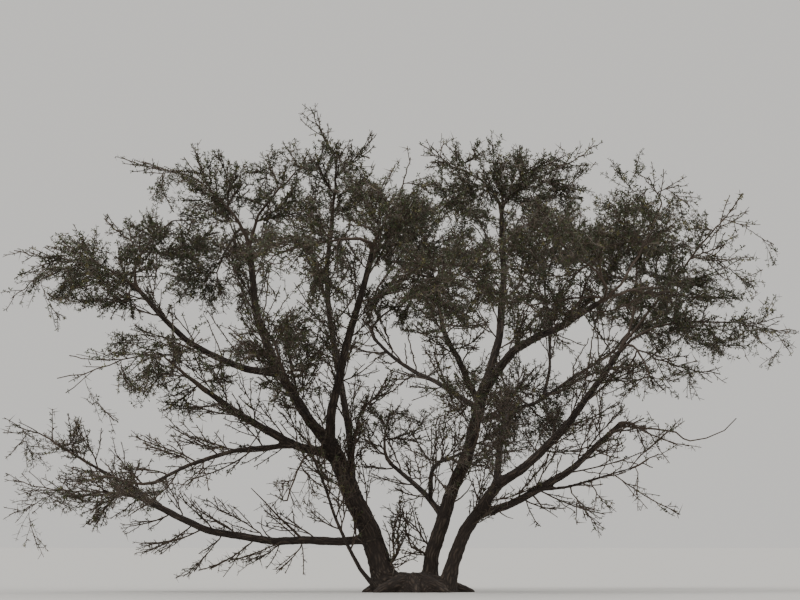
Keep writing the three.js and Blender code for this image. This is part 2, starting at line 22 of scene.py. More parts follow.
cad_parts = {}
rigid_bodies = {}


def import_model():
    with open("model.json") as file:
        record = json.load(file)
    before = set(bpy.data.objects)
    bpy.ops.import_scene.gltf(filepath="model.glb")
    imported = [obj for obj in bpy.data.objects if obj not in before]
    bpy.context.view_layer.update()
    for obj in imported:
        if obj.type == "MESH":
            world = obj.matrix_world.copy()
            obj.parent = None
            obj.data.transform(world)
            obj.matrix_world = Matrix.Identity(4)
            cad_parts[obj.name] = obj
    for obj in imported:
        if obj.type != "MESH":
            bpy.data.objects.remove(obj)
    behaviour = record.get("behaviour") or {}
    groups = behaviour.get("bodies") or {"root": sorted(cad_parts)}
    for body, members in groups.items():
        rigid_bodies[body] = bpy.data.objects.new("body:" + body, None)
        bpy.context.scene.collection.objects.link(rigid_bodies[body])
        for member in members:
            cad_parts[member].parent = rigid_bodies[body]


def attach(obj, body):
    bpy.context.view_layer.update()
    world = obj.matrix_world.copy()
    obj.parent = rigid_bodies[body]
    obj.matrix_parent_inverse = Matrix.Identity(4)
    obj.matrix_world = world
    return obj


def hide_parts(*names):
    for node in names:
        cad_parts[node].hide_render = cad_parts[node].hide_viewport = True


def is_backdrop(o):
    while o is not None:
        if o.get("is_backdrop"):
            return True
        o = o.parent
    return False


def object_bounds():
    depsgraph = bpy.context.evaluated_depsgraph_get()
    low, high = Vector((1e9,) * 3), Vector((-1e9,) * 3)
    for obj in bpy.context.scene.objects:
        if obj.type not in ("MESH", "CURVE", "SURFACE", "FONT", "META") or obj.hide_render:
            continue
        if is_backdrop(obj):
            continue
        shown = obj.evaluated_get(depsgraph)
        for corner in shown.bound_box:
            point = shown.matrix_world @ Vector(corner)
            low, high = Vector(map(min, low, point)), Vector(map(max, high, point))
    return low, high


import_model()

LOG = logging.getLogger("acacia")
MM = 0.001
UP = np.array([0.0, 0.0, 1.0])
EAST = np.array([1.0, 0.0, 0.0])
GOLDEN = 0.618034
STEEP = 0.9  # a direction's part upwards from which it counts as upright
TINY = 1e-6
LEAST = 1e-9  # the least length that a vector is divided by


# Small tools


def unit(v: Array) -> Array:
    """Vectors of length 1 with the same directions, row by row."""
    v = np.asarray(v, dtype=float)
    return v / np.maximum(np.linalg.norm(v, axis=-1, keepdims=True), LEAST)


def square_to(lead: Array) -> Array:
    """Unit vector square to one direction, level where it can be."""
    return unit(np.cross(EAST if abs(lead[2]) > STEEP else UP, lead))


def turned(v: Array, axis: Array, angle: float) -> Array:
    """A vector turned about a unit axis."""
    c, s = math.cos(angle), math.sin(angle)
    return v * c + np.cross(axis, v) * s + axis * float(axis @ v) * (1 - c)


def bowed(start: Array, bend: Array, end: Array, t: Array) -> Array:
    """Points of a simple bow from start to end, drawn towards bend."""
    return start * (1 - t) ** 2 + 2 * bend * t * (1 - t) + end * t**2


def linear(code: str) -> tuple[float, float, float, float]:
    """The linear colour of an sRGB hex code.

    Args:
        code: Such as "#4a3d33".

    Returns:
        Red, green, blue and opacity.
    """
    parts = [int(code[i:i + 2], 16) / 255 for i in (1, 3, 5)]
    r, g, b = (p / 12.92 if p <= 0.04045 else ((p + 0.055) / 1.055) ** 2.4 for p in parts)
    return (r, g, b, 1.0)


def node(tree: NodeTree, kind: str, links: dict[str | int, object] | None = None,
         **settings: object) -> Node:
    """Adds a node to a tree.

    Args:
        tree: The shader or geometry tree.
        kind: The node's type name.
        links: For each input, by name or number, a value or the output socket that feeds it.
        **settings: The node's own properties.

    Returns:
        The new node.
    """
    made = tree.nodes.new(kind)
    for key, value in settings.items():
        setattr(made, key, value)
    for key, value in (links or {}).items():
        socket = made.inputs[key]
        if isinstance(value, NodeSocket):
            tree.links.new(value, socket)
        else:
            socket.default_value = value
    return made


class Seeded:
    """Repeatable random numbers from 0 to 1, the same ones as the solids use."""

    MASK = 0xFFFFFFFF
    STRIDE = 0x6D2B79F5

    def __init__(self, seed: int) -> None:
        """Starts the row of numbers at a seed."""
        self.state = seed & self.MASK

    def __call__(self) -> float:
        """The next number.

        Returns:
            A number from 0 to 1.
        """
        self.state = (self.state + self.STRIDE) & self.MASK
        t = ((self.state ^ (self.state >> 15)) * (self.state | 1)) & self.MASK
        t ^= (t + (((t ^ (t >> 7)) * (t | 61)) & self.MASK)) & self.MASK
        return ((t ^ (t >> 14)) & self.MASK) / (self.MASK + 1)


# The tree's sizes, as in the solids


@dataclass(frozen=True)
class LimbSpec:
    """A stem or bough: where it starts and ends, how it is headed there, and its radii.

    A heading is (bearing, rise) in degrees. A stem starts at a foot at height 0, and a bough at a share of
    its parent's length.
    """

    tip: tuple[float, float, float]
    leave: tuple[float, float]
    arrive: tuple[float, float]
    radius: tuple[float, float]
    foot: tuple[float, float] | None = None
    parent: str = ""
    at: float = 0.0


@dataclass(frozen=True)
class MassSpec:
    """A mass of foliage: its bough, the ellipsoid that is its space, and its furthest tips."""

    on: str
    centre: tuple[float, float, float]
    reach: tuple[float, float, float]
    tips: tuple[tuple[float, float, float], ...] = ()


@dataclass(frozen=True)
class Vigour:
    """How thickly some twigs are set with shoots and leaves, as a share of the usual.

    Attributes:
        mass: For the masses that aren't as thick as the rest.
        outlying: For the long twigs that reach a mass's furthest tips, beside its own.
    """

    mass: dict[str, float] = field(default_factory=lambda: {
        "foliage_low_west_upper": 0.85, "foliage_mid_west_arch": 0.8, "foliage_low_east": 0.5,
        "foliage_low_east_outer": 0.6, "foliage_thin_stem": 0.5, "foliage_under_east": 0.85,
        "foliage_inner_fork": 0.85, "foliage_inner_cross": 0.9,
    })
    outlying: float = 0.62


STEMS = {
    "stem_west": LimbSpec((-800, -40, 1520), (175, 76), (185, 68), (118, 84), foot=(-190, 20)),
    "stem_middle": LimbSpec((760, 160, 2040), (60, 88), (20, 80), (80, 58), foot=(215, 70)),
    "stem_east": LimbSpec((900, -150, 1090), (-5, 76), (-5, 52), (76, 56), foot=(370, -70)),
    "stem_thin": LimbSpec((-930, -330, 1310), (190, 45), (190, 66), (25, 14), foot=(-280, -110)),
}

BOUGHS = {
    # low on the west side, sweeping out level
    "bough_low_west": LimbSpec((-2590, 260, 900), (175, -2), (178, 32), (46, 34), None, "stem_west", 0.34),
    "bough_low_west_upper": LimbSpec(
        (-3180, 340, 1270), (178, 38), (180, 28), (25, 16), None, "bough_low_west", 0.97),
    # half way up on the west side
    "bough_mid_west": LimbSpec((-1990, -400, 1990), (180, 6), (190, 32), (50, 29), None, "stem_west", 0.9),
    "bough_mid_west_arch": LimbSpec(
        (-2440, -900, 1100), (190, -4), (190, -28), (30, 19), None, "bough_mid_west", 0.28),
    # the two that carry the west side of the crown
    "bough_high_west": LimbSpec((-1590, 260, 3400), (172, 48), (150, 88), (58, 34), None, "stem_west", 0.97),
    "bough_far_west": LimbSpec(
        (-2660, -120, 2980), (180, 3), (185, 52), (40, 26), None, "bough_high_west", 0.41),
    "bough_inner_west": LimbSpec(
        (-1180, -560, 2080), (235, 30), (185, 50), (28, 18), None, "bough_high_west", 0.16),
    # upright ones in the middle
    "bough_centre_west": LimbSpec(
        (-350, -1500, 3290), (300, 80), (285, 50), (50, 29), None, "stem_west", 0.98),
    "bough_leader": LimbSpec((-800, 1250, 3640), (90, 86), (75, 62), (40, 26), None, "stem_west", 0.62),
    "bough_inner_fork": LimbSpec(
        (-170, 700, 1290), (172, 54), (145, 38), (35, 22), None, "stem_middle", 0.36),
    "bough_inner_cross": LimbSpec(
        (600, -900, 1400), (260, 70), (315, 20), (25, 17), None, "bough_inner_fork", 0.25),
    "bough_centre_front": LimbSpec(
        (270, -1750, 2950), (215, 62), (262, 48), (35, 21), None, "stem_middle", 0.92),
    "bough_centre_back": LimbSpec(
        (-350, 1750, 2620), (140, 30), (118, 30), (30, 19), None, "stem_middle", 0.9),
    "bough_centre_top": LimbSpec((950, 420, 3800), (30, 66), (110, 86), (47, 28), None, "stem_middle", 0.98),
    # east side
    "bough_high_east": LimbSpec(
        (1830, -1450, 2800), (-20, 58), (-35, 30), (50, 29), None, "stem_middle", 0.98),
    "bough_far_east": LimbSpec((2110, 90, 2390), (5, 30), (8, 54), (50, 30), None, "stem_east", 0.98),
    "bough_inner_east": LimbSpec((1040, 1150, 2020), (60, 84), (85, 40), (38, 24), None, "stem_east", 0.97),
    "bough_back_east": LimbSpec(
        (2000, 1450, 2380), (20, 8), (15, 26), (24, 16), None, "bough_inner_east", 0.8),
    "bough_back_riser": LimbSpec(
        (1430, 1900, 3330), (40, 70), (90, 70), (20, 14), None, "bough_back_east", 0.35),
    "bough_low_east": LimbSpec((2080, -600, 1650), (0, 16), (-15, 44), (44, 28), None, "stem_east", 0.68),
    "bough_low_east_outer": LimbSpec(
        (2180, -1100, 1220), (-15, 4), (-22, 13), (19, 11), None, "bough_low_east", 0.38),
}

MASSES = {
    "foliage_low_west_upper": MassSpec(
        "bough_low_west_upper", (-3570, 400, 1505), (430, 400, 220),
        ((-3990, 250, 1690), (-3930, 450, 1480))),
    "foliage_low_west_fan": MassSpec(
        "bough_low_west", (-3000, 60, 970), (580, 500, 280),
        ((-3950, 0, 1120), (-3840, 250, 980), (-3960, -250, 765), (-3680, -300, 470))),
    "foliage_mid_west": MassSpec(
        "bough_mid_west", (-2330, -560, 2270), (760, 560, 370),
        ((-3460, -600, 2110), (-3360, -780, 1960), (-3350, -500, 2340), (-2890, -750, 1690))),
    "foliage_mid_west_arch": MassSpec("bough_mid_west_arch", (-2750, -1100, 1120), (400, 380, 180)),
    "foliage_far_west": MassSpec(
        "bough_far_west", (-3060, -250, 3210), (640, 740, 380),
        ((-3940, -100, 3410), (-3940, -300, 2920), (-3450, -400, 2690))),
    "foliage_far_west_top": MassSpec(
        "bough_far_west", (-2450, 200, 3560), (560, 680, 300), ((-3080, 400, 3770),)),
    "foliage_high_west": MassSpec(
        "bough_high_west", (-2040, 300, 4000), (540, 680, 330), ((-2880, 250, 4370), (-2140, 300, 4430))),
    "foliage_high_west_back": MassSpec("bough_high_west", (-1900, 1350, 3330), (640, 780, 430)),
    "foliage_high_west_top": MassSpec(
        "bough_high_west", (-1240, 250, 4040), (430, 640, 370), ((-1440, 450, 4380),)),
    "foliage_inner_west": MassSpec("bough_inner_west", (-1300, -600, 2420), (600, 660, 500)),
    "foliage_front_west": MassSpec("bough_centre_west", (-1060, -1550, 3270), (580, 740, 420)),
    "foliage_leader": MassSpec(
        "bough_leader", (-750, 800, 4200), (430, 700, 420), ((-1000, 600, 4930), (-355, 700, 4620))),
    "foliage_centre_west": MassSpec(
        "bough_centre_west", (-160, -1500, 3680), (500, 700, 420), ((20, -1600, 4200),)),
    "foliage_centre_back": MassSpec("bough_centre_back", (220, 1980, 3780), (740, 780, 420)),
    "foliage_centre_low": MassSpec("bough_centre_back", (180, 1350, 3060), (660, 620, 340)),
    "foliage_centre_front": MassSpec("bough_centre_front", (440, -2200, 3000), (560, 600, 430)),
    "foliage_centre_top": MassSpec(
        "bough_centre_top", (590, 50, 4140), (380, 720, 350), ((150, 150, 4490), (360, 200, 4530))),
    "foliage_centre_top_east": MassSpec(
        "bough_centre_top", (1310, 450, 4130), (400, 720, 370), ((1900, 450, 4520), (2150, 400, 4280))),
    "foliage_front_east": MassSpec("bough_high_east", (1300, -1900, 3350), (540, 660, 410)),
    "foliage_under_high": MassSpec("bough_high_east", (1330, -1150, 2800), (560, 560, 320)),
    "foliage_high_east": MassSpec(
        "bough_high_east", (2330, -1100, 3570), (540, 660, 410), ((2350, -1100, 4050), (2650, -1000, 3990))),
    "foliage_high_east_low": MassSpec("bough_high_east", (2460, -750, 2940), (440, 540, 260)),
    "foliage_back_riser": MassSpec("bough_back_riser", (1600, 2000, 3640), (580, 720, 400)),
    "foliage_far_east_top": MassSpec("bough_far_east", (2180, 450, 3460), (500, 680, 380)),
    "foliage_far_east": MassSpec(
        "bough_far_east", (2830, -100, 3320), (570, 740, 430),
        ((3300, 0, 3900), (3410, -200, 3640), (3660, -100, 3470), (3700, 100, 3270))),
    "foliage_shelf_east": MassSpec(
        "bough_far_east", (2980, 100, 2630), (640, 720, 260),
        ((3890, 100, 2620), (3800, -100, 2420), (3600, -200, 2300))),
    "foliage_under_east": MassSpec(
        "bough_far_east", (2320, -400, 2190), (540, 560, 190),
        ((3100, -350, 2160), (2790, -450, 1970), (2570, -300, 1760))),
    "foliage_back_east": MassSpec("bough_back_east", (2360, 1650, 2830), (580, 680, 320)),
    "foliage_low_east": MassSpec(
        "bough_low_east", (2230, -620, 1620), (290, 320, 170), ((3250, -600, 1730), (2760, -700, 1440))),
    "foliage_low_east_outer": MassSpec(
        "bough_low_east_outer", (2300, -1130, 1290), (250, 280, 120), ((2210, -1250, 950),)),
    "foliage_inner_fork": MassSpec("bough_inner_fork", (-180, 900, 1690), (420, 480, 300)),
    "foliage_inner_cross": MassSpec("bough_inner_cross", (600, -1150, 1900), (430, 480, 340)),
    "foliage_inner_east": MassSpec("bough_inner_east", (1260, 1350, 1870), (520, 560, 430)),
    "foliage_thin_stem": MassSpec("stem_thin", (-1130, -520, 1000), (330, 320, 190)),
}

# Ends of further long twigs, where two masses meet and the crown would be too open.
BETWEEN = {
    "foliage_far_west": ((-3200, -350, 2900), (-3000, -100, 2850), (-2750, -300, 2800), (-3300, -100, 3080),
                         (-3100, -300, 3500)),
    "foliage_mid_west": ((-2350, -560, 1850), (-2150, -500, 1770), (-2800, -650, 2400), (-2750, -500, 2080),
                         (-2550, -300, 2050), (-2850, -560, 2160), (-2650, -560, 1980), (-2480, -620, 2130),
                         (-2920, -480, 2290), (-2650, -450, 2560), (-2850, -400, 2500), (-1800, -480, 2130),
                         (-1900, -600, 2030)),
    "foliage_high_west": ((-2350, 200, 4150), (-1950, 250, 3750), (-2250, 300, 3780), (-1900, 300, 3920),
                          (-1680, 280, 3950), (-1720, 300, 3760)),
    "foliage_high_west_back": ((-1950, 1200, 2850), (-1750, 1000, 2950)),
    "foliage_high_west_top": ((-1050, 300, 4280), (-1200, 250, 4450), (-1500, 280, 3900), (-1420, 250, 4100),
                              (-1550, 300, 3760)),
    "foliage_inner_west": ((-1150, -600, 1900), (-1000, -550, 2000)),
    "foliage_leader": ((-1150, 700, 4350), (-900, 600, 3750), (-500, 700, 3850)),
    "foliage_front_west": ((-900, -1500, 3720), (-700, -1400, 3500), (-900, -1450, 2900),
                           (-850, -1500, 3050)),
    "foliage_centre_west": ((-560, -1400, 3900),),
    "foliage_centre_top": ((900, 100, 4250), (950, -100, 4000), (850, 0, 4480)),
    "foliage_centre_top_east": ((1000, 500, 4350), (1700, 400, 4050), (1780, 350, 4250), (1650, 350, 3850)),
    "foliage_high_east": ((2050, -1000, 4120), (2250, -900, 4180), (2000, -1100, 3850), (2450, -1000, 3900)),
    "foliage_far_east_top": ((2350, 400, 3880), (2000, 450, 3830), (2580, 300, 3780)),
    "foliage_far_east": ((3450, -150, 3050), (3300, 200, 2950), (3550, -50, 3220), (3000, -100, 2930),
                         (2950, -100, 3700), (3100, 0, 3620)),
    "foliage_shelf_east": ((3600, 0, 2820), (3450, 150, 2950), (3250, -150, 2900), (3300, -250, 2450),
                           (3500, 0, 2600), (3450, 50, 2480)),
    "foliage_inner_east": ((950, 1100, 1520), (1250, 900, 1450), (1100, 1300, 2350), (1000, 1100, 1330),
                           (1450, 1350, 2200)),
    "foliage_inner_cross": ((900, -1100, 1700), (750, -1000, 2250), (880, -1150, 1480), (760, -1200, 1330)),
}

# Gaps through the crown, seen from the front: x, z and half the width and height of each.
GAPS = (
    (-2010, 2610, 380, 180),
    (-1300, 3100, 300, 260),
    (-180, 2400, 320, 170),
    (3400, 3420, 360, 260),
    (1850, 2560, 300, 160),
    (-3280, 2200, 340, 220),
    (2040, 1170, 500, 220),
    (-160, 4270, 300, 200),
)


# The bounds of the crown's sectors: a height, and the sides of the middle.
UPPER_FROM = 3050
MIDDLE = (-1450, 1700)


class Sector(Enum):
    """A part of the crown whose twigs, spines and leaves are each joined as one piece."""

    WEST_UPPER = "west_upper"
    WEST_LOWER = "west_lower"
    MIDDLE_UPPER = "middle_upper"
    MIDDLE_LOWER = "middle_lower"
    EAST_UPPER = "east_upper"
    EAST_LOWER = "east_lower"

    @classmethod
    def of(cls, point: Sequence[float]) -> "Sector":
        """The sector that holds a point.

        Args:
            point: In millimetres.

        Returns:
            The sector.
        """
        west, east = MIDDLE
        side = "west" if point[0] < west else "east" if point[0] > east else "middle"
        return cls(f"{side}_{'upper' if point[2] > UPPER_FROM else 'lower'}")


# Limbs


class Limb:
    """The course of a stem or bough, with its radius."""

    COLLAR = 0.28
    COLLAR_LENGTH = 1.6
    HANDLE = 0.38
    KINK_EVERY = 330
    KINK_SHARE = 0.4
    KINK_MOST = 20
    KINK_LEAST = 0.3
    KINK_TURN = 0.8
    KINK_SEED = 31
    SOFTNESS = 0.3
    DIVISIONS = 200
    BOW_STEP = 1e-4
    LEAD_STEP = 1e-3

    def __init__(self, start: Sequence[float], spec: LimbSpec, number: int) -> None:
        """Lays the curve from a start point.

        Args:
            start: Where the axis begins.
            spec: The limb's sizes.
            number: The limb's place in the order, which seeds its kinks.
        """
        self.spec = spec
        start, tip = np.array(start, dtype=float), np.array(spec.tip, dtype=float)
        span = float(np.linalg.norm(tip - start))
        lead, last = self.heading(spec.leave), self.heading(spec.arrive)
        handles = (start, start + lead * self.HANDLE * span, tip - last * self.HANDLE * span, tip)
        self.shares = np.linspace(0, 1, self.DIVISIONS + 1)
        self.knots = self.kinked(handles, number)
        self.lengths = self.along(self.spline(self.shares))
        self.length = float(self.lengths[-1])

    @staticmethod
    def heading(angles: tuple[float, float]) -> Array:
        """Unit vector of a (bearing, rise) heading."""
        turn, lift = (math.radians(a) for a in angles)
        return np.array([math.cos(lift) * math.cos(turn), math.cos(lift) * math.sin(turn), math.sin(lift)])

    @staticmethod
    def along(points: Array) -> Array:
        """The way from the first of some points to each of them."""
        return np.concatenate([[0], np.cumsum(np.linalg.norm(np.diff(points, axis=0), axis=1))])

    def kinked(self, handles: Sequence[Array], number: int) -> Array:
        """Points along a bow that stray from it between its ends.

        Args:
            handles: The four points of the bow.
            number: What seeds the kinks.

        Returns:
            The knots through which the limb runs.
        """
        a, b, c, d = handles

        def bow(t: Array) -> Array:
            """Points of the bow at parameters from 0 to 1."""
            t = np.atleast_1d(t)[:, None]
            return a * (1 - t) ** 3 + 3 * b * t * (1 - t) ** 2 + 3 * c * (1 - t) * t**2 + d * t**3

        lengths = self.along(bow(self.shares))
        count = max(2, math.floor(lengths[-1] / self.KINK_EVERY + 0.5))
        random = Seeded(self.KINK_SEED + number)
        first, last = self.spec.radius
        knots = []
        for i in range(count + 1):
            share = i / count
            turn = i + self.KINK_TURN * random()
            size = self.KINK_LEAST + (1 - self.KINK_LEAST) * random()
            most = min(self.KINK_SHARE * (first + (last - first) * share), self.KINK_MOST)
            t = float(np.interp(share * lengths[-1], lengths, self.shares))
            near, far = bow(np.array([max(0.0, t - self.BOW_STEP), min(1.0, t + self.BOW_STEP)]))
            lead = unit(far - near)
            side = turned(square_to(lead), lead, math.pi * turn)
            knots.append(bow(t)[0] + side * (size * most if i % count else 0))
        return np.array(knots)

    def spline(self, t: Array) -> Array:
        """The curve through the knots.

        Args:
            t: Parameters from 0 to 1.

        Returns:
            A point for each.
        """
        knots = self.knots
        p = np.concatenate([[2 * knots[0] - knots[1]], knots, [2 * knots[-1] - knots[-2]]])
        place = np.atleast_1d(t) * (len(knots) - 1)
        i = np.minimum(place.astype(int), len(knots) - 2)
        w = (place - i)[:, None]
        before, here, after, beyond = p[i], p[i + 1], p[i + 2], p[i + 3]
        start, end = self.SOFTNESS * (after - before), self.SOFTNESS * (beyond - here)
        return (here + start * w + (3 * (after - here) - 2 * start - end) * w**2
                + (2 * (here - after) + start + end) * w**3)

    def points(self, share: Array | float) -> Array:
        """Points at shares of the length."""
        return self.spline(np.interp(np.atleast_1d(share) * self.length, self.lengths, self.shares))

    def point(self, share: float) -> Array:
        """The point at a share of the length."""
        return self.points(share)[0]

    def lead(self, share: float) -> Array:
        """Unit direction at a share of the length."""
        low, high = max(0.0, share - self.LEAD_STEP), min(1.0, share + self.LEAD_STEP)
        return unit(self.point(high) - self.point(low))

    def radius_at(self, share: Array | float) -> Array:
        """The radius, with the swelling at the root.

        Args:
            share: Shares of the length.

        Returns:
            The radius at each.
        """
        share = np.asarray(share, dtype=float)
        first, last = self.spec.radius
        swell = self.COLLAR * np.exp(-share * self.length / (self.COLLAR_LENGTH * first))
        return (first + (last - first) * share) * (1 + swell)


@dataclass
class Limbs:
    """Every stem and bough, and the sampled points that keep twigs clear of them."""

    sample: float = 45
    batch: int = 4000
    limbs: dict[str, Limb] = field(default_factory=dict)

    def __post_init__(self) -> None:
        """Lays the limbs in the order in which they fork, and samples them."""
        for name, spec in {**STEMS, **BOUGHS}.items():
            start = (*spec.foot, 0) if spec.foot else self.limbs[spec.parent].point(spec.at)
            self.limbs[name] = Limb(start, spec, len(self.limbs))
        points, radii = [], []
        for limb in self.limbs.values():
            count = math.ceil(limb.length / self.sample)
            shares = np.arange(count + 1) / count
            points.append(limb.points(shares))
            radii.append(limb.radius_at(shares))
        self.points = np.concatenate(points)
        self.radii = np.concatenate(radii)

    def gap(self, p: Array) -> Array:
        """How far points are from the bark of the nearest limb.

        Args:
            p: The points.

        Returns:
            The distance of each.
        """
        found = np.empty(len(p))
        for i in range(0, len(p), self.batch):
            some = slice(i, i + self.batch)
            found[some] = (np.linalg.norm(p[some, None] - self.points, axis=2) - self.radii).min(axis=1)
        return found


# Growth of the masses, by the solids' rule


@dataclass
class Place:
    """A place on a mass's stem or on a twig from which a twig may start.

    at and lead follow the straight twigs of the solids, and on is the place on the curved twig of this model.
    """

    at: Array
    lead: Array
    radius: float
    way: float
    on: Array
    taken: int = 0


@dataclass
class Twig:
    """A twig of a mass: its ends, its heading at the root, and the plane of the spray that it bears."""

    start: Array
    tip: Array
    lead: Array
    radius: float
    flat: Array
    live: float = 1.0

    BEND = 0.36
    RISE = 0.18

    def course(self, shares: Array) -> Array:
        """Its gently bowed course.

        Args:
            shares: Shares of its length.

        Returns:
            A point for each.
        """
        span = np.linalg.norm(self.tip - self.start)
        straight = unit(self.tip - self.start)
        first = unit(straight + self.BEND * (self.lead - straight)) * span
        last = unit(straight + self.RISE * UP) * span
        t = shares[:, None]
        return (self.start * (2 * t**3 - 3 * t**2 + 1) + first * (t**3 - 2 * t**2 + t)
                + self.tip * (3 * t**2 - 2 * t**3) + last * (t**3 - t**2))


@dataclass
class Growth:
    """The rule by which each mass fills its own space with twigs, with the solids' own values."""

    limbs: Limbs
    shell_per_twig: float = 127000
    least_twigs: int = 2
    shell: tuple[float, float] = (0.75, 1.0)
    stem_radius: tuple[float, float] = (15, 8)
    stem_share: float = 0.6
    stem_nodes: int = 5
    stem_divisions: int = 200
    stem_bend: float = 0.4
    past_centre: float = 0.3
    twig_radius: float = 9
    on_parent: float = 0.9
    on_twig: float = 0.8
    turn_cost: float = 0.6
    wander_cost: float = 0.2
    crowding: float = 160
    space_margin: float = 0.07
    limb_margin: float = 24
    forks: tuple[float, float] = (0.38, 0.62)
    taper: float = 0.7
    tries: int = 5
    spray_widest: float = 0.45
    spray_slimness: float = 0.13
    spray_width: tuple[float, float] = (50, 95)
    spray_thickness: float = 0.4
    spray_keel: float = 0.5
    beside: tuple[float, float] = (320, 480)
    least: float = 300
    outward: float = 0.56
    past: float = 1.2
    fill: float = 1.8
    fill_shell: tuple[float, float] = (0.45, 1.1)
    fill_radius: float = 7
    fill_turn: float = 0.5

    def __post_init__(self) -> None:
        """Gathers the masses' spaces."""
        self.centres = np.array([m.centre for m in MASSES.values()], dtype=float)
        self.reaches = np.array([m.reach for m in MASSES.values()], dtype=float)

    def depths(self, p: Array) -> Array:
        """For each point and each mass, 0 at the mass's centre and 1 on its ellipsoid."""
        return np.linalg.norm((p[:, None] - self.centres) / self.reaches, axis=2)

    def clear(self, mass: int, a: Array, b: Array) -> bool:
        """Whether a straight way stays in a mass's space and clear of every limb.

        Args:
            mass: The mass's number.
            a: Where the way starts.
            b: Where it ends.

        Returns:
            True where it does.
        """
        count = math.ceil(np.linalg.norm(b - a) / self.limbs.sample)
        p = a + (b - a) * (np.arange(1, count + 1) / count)[:, None]
        depth = self.depths(p)
        mine = depth[:, mass].copy()
        depth[:, mass] = np.inf
        if np.any(depth.min(axis=1) <= mine + self.space_margin):
            return False
        return bool(np.all(self.limbs.gap(p) >= self.limb_margin))

    def stem(self, mass: int, spec: MassSpec) -> tuple[list[Place], Array]:
        """A mass's own stem, from the tip of its bough to a little past the middle of its space.

        Args:
            mass: The mass's number.
            spec: Its sizes.

        Returns:
            Its nodes, and the three points that bend it.
        """
        bough = self.limbs.limbs[spec.on]
        start, lead = bough.point(1), bough.lead(1)
        centre = self.centres[mass]
        end = centre + (start - centre) * -self.past_centre
        bend = start + lead * self.stem_bend * np.linalg.norm(end - start)
        t = (np.arange(self.stem_nodes + 1) / self.stem_nodes)[:, None]
        points = bowed(start, bend, end, t)
        leads = unit((bend - start) * (1 - t) + (end - bend) * t)
        curve = bowed(start, bend, end, np.linspace(0, 1, self.stem_divisions + 1)[:, None])
        length = float(np.linalg.norm(np.diff(curve, axis=0), axis=1).sum())
        first, last = self.stem_radius
        limit = self.stem_share * bough.spec.radius[1]
        nodes = [
            Place(points[i], leads[i], min(first + (last - first) * s, limit), s * length, points[i])
            for i, s in enumerate(t[:, 0])
        ]
        return nodes, np.array([start, bend, end])

    def targets(self, mass: int, times: float, shell: tuple[float, float], turn: float) -> Array:
        """Points spread evenly over the outer part of a mass's space.

        Args:
            mass: The mass's number.
            times: How many there are for each twig of the solid.
            shell: The shares of the space's reach between which they lie.
            turn: How far they are turned about the mass, in golden angles.

        Returns:
            The points, from the top of the mass down.
        """
        x, y, z = self.reaches[mass]
        count = self.least_twigs + int(math.floor((x * y + y * z + z * x) / self.shell_per_twig + 0.5))
        count = round(count * times)
        k = np.arange(count)
        height = 1 - (2 * k + 1) / count
        flat = np.sqrt(1 - height**2)
        turn = 2 * math.pi * GOLDEN * (k + turn)
        low, high = shell
        share = low + (high - low) * ((k * GOLDEN) % 1)
        ball = np.stack([flat * np.cos(turn), flat * np.sin(turn), height], axis=1)
        return ball * share[:, None] * self.reaches[mass] + self.centres[mass]

    def reach(self, mass: int, nodes: list[Place], target: Array, random: Seeded,
              thickest: float) -> tuple[Twig, list[Place]] | None:
        """The twig that reaches a target from the best clear node, and the nodes on it.

        Args:
            mass: The mass's number.
            nodes: Where a twig may start, which gains the new ones.
            target: The point to reach.
            random: The mass's random numbers.
            thickest: The most that its radius may be.

        Returns:
            The twig and its nodes, or None where no way is clear.
        """
        def cost(place: Place) -> float:
            """How dear the way from a node to the target is.

            Args:
                place: The node.

            Returns:
                A length, the longer the more the way turns and the more the node bears.
            """
            way = target - place.at
            distance = float(np.linalg.norm(way))
            turn = 1 - float(way @ place.lead) / distance
            length = distance * (1 + self.turn_cost * turn)
            return length + self.wander_cost * place.way + self.crowding * place.taken

        best = sorted(nodes[1:], key=cost)[: self.tries]
        parent = next((place for place in best if self.clear(mass, place.at, target)), None)
        if parent is None:
            return None
        parent.taken += 1
        root = parent.at - parent.lead * parent.radius
        length = float(np.linalg.norm(target - root))
        lead = unit(target - root)
        radius = min(thickest, self.on_parent * parent.radius)
        flat = turned(square_to(lead), lead, math.pi * random())
        twig = Twig(parent.on, target, parent.lead, radius, flat)
        curved = twig.course(np.array(self.forks))
        made = []
        for s, on in zip(self.forks, curved):
            at = root + (target - root) * s
            made.append(Place(at, lead, radius * (1 - self.taper * s), parent.way + s * length, on))
        nodes.extend(made)
        return twig, made if length >= self.least else []

    def spray(self, mass: int, place: Place, random: Seeded) -> Twig | None:
        """The twig that stands beside another at one of its nodes.

        Args:
            mass: The mass's number.
            place: The node.
            random: The mass's random numbers.

        Returns:
            The twig, or None where it leaves the space or meets a limb.
        """
        side = turned(square_to(place.lead), place.lead, 2 * math.pi * random())
        out = unit(place.lead + (side - place.lead) * self.outward)
        low, high = self.beside
        tip = place.at + out * (low + (high - low) * random())
        root = place.at - place.lead * place.radius
        lead, length = unit(tip - root), float(np.linalg.norm(tip - root))
        flat = turned(square_to(lead), lead, math.pi * random())
        thick = np.cross(lead, flat)
        wide = float(np.clip(self.spray_slimness * length, *self.spray_width))
        high_side = self.spray_thickness * wide
        middle = root + lead * self.spray_widest * length
        below = middle - thick * self.spray_keel * high_side
        reached = [middle + thick * high_side, below - flat * wide, below + flat * wide, tip]
        if self.depths(tip[None])[0, mass] >= self.past:
            return None
        if not all(self.clear(mass, place.at, p) for p in reached):
            return None
        return Twig(place.on, tip + place.on - place.at, place.lead, self.on_twig * place.radius, flat)

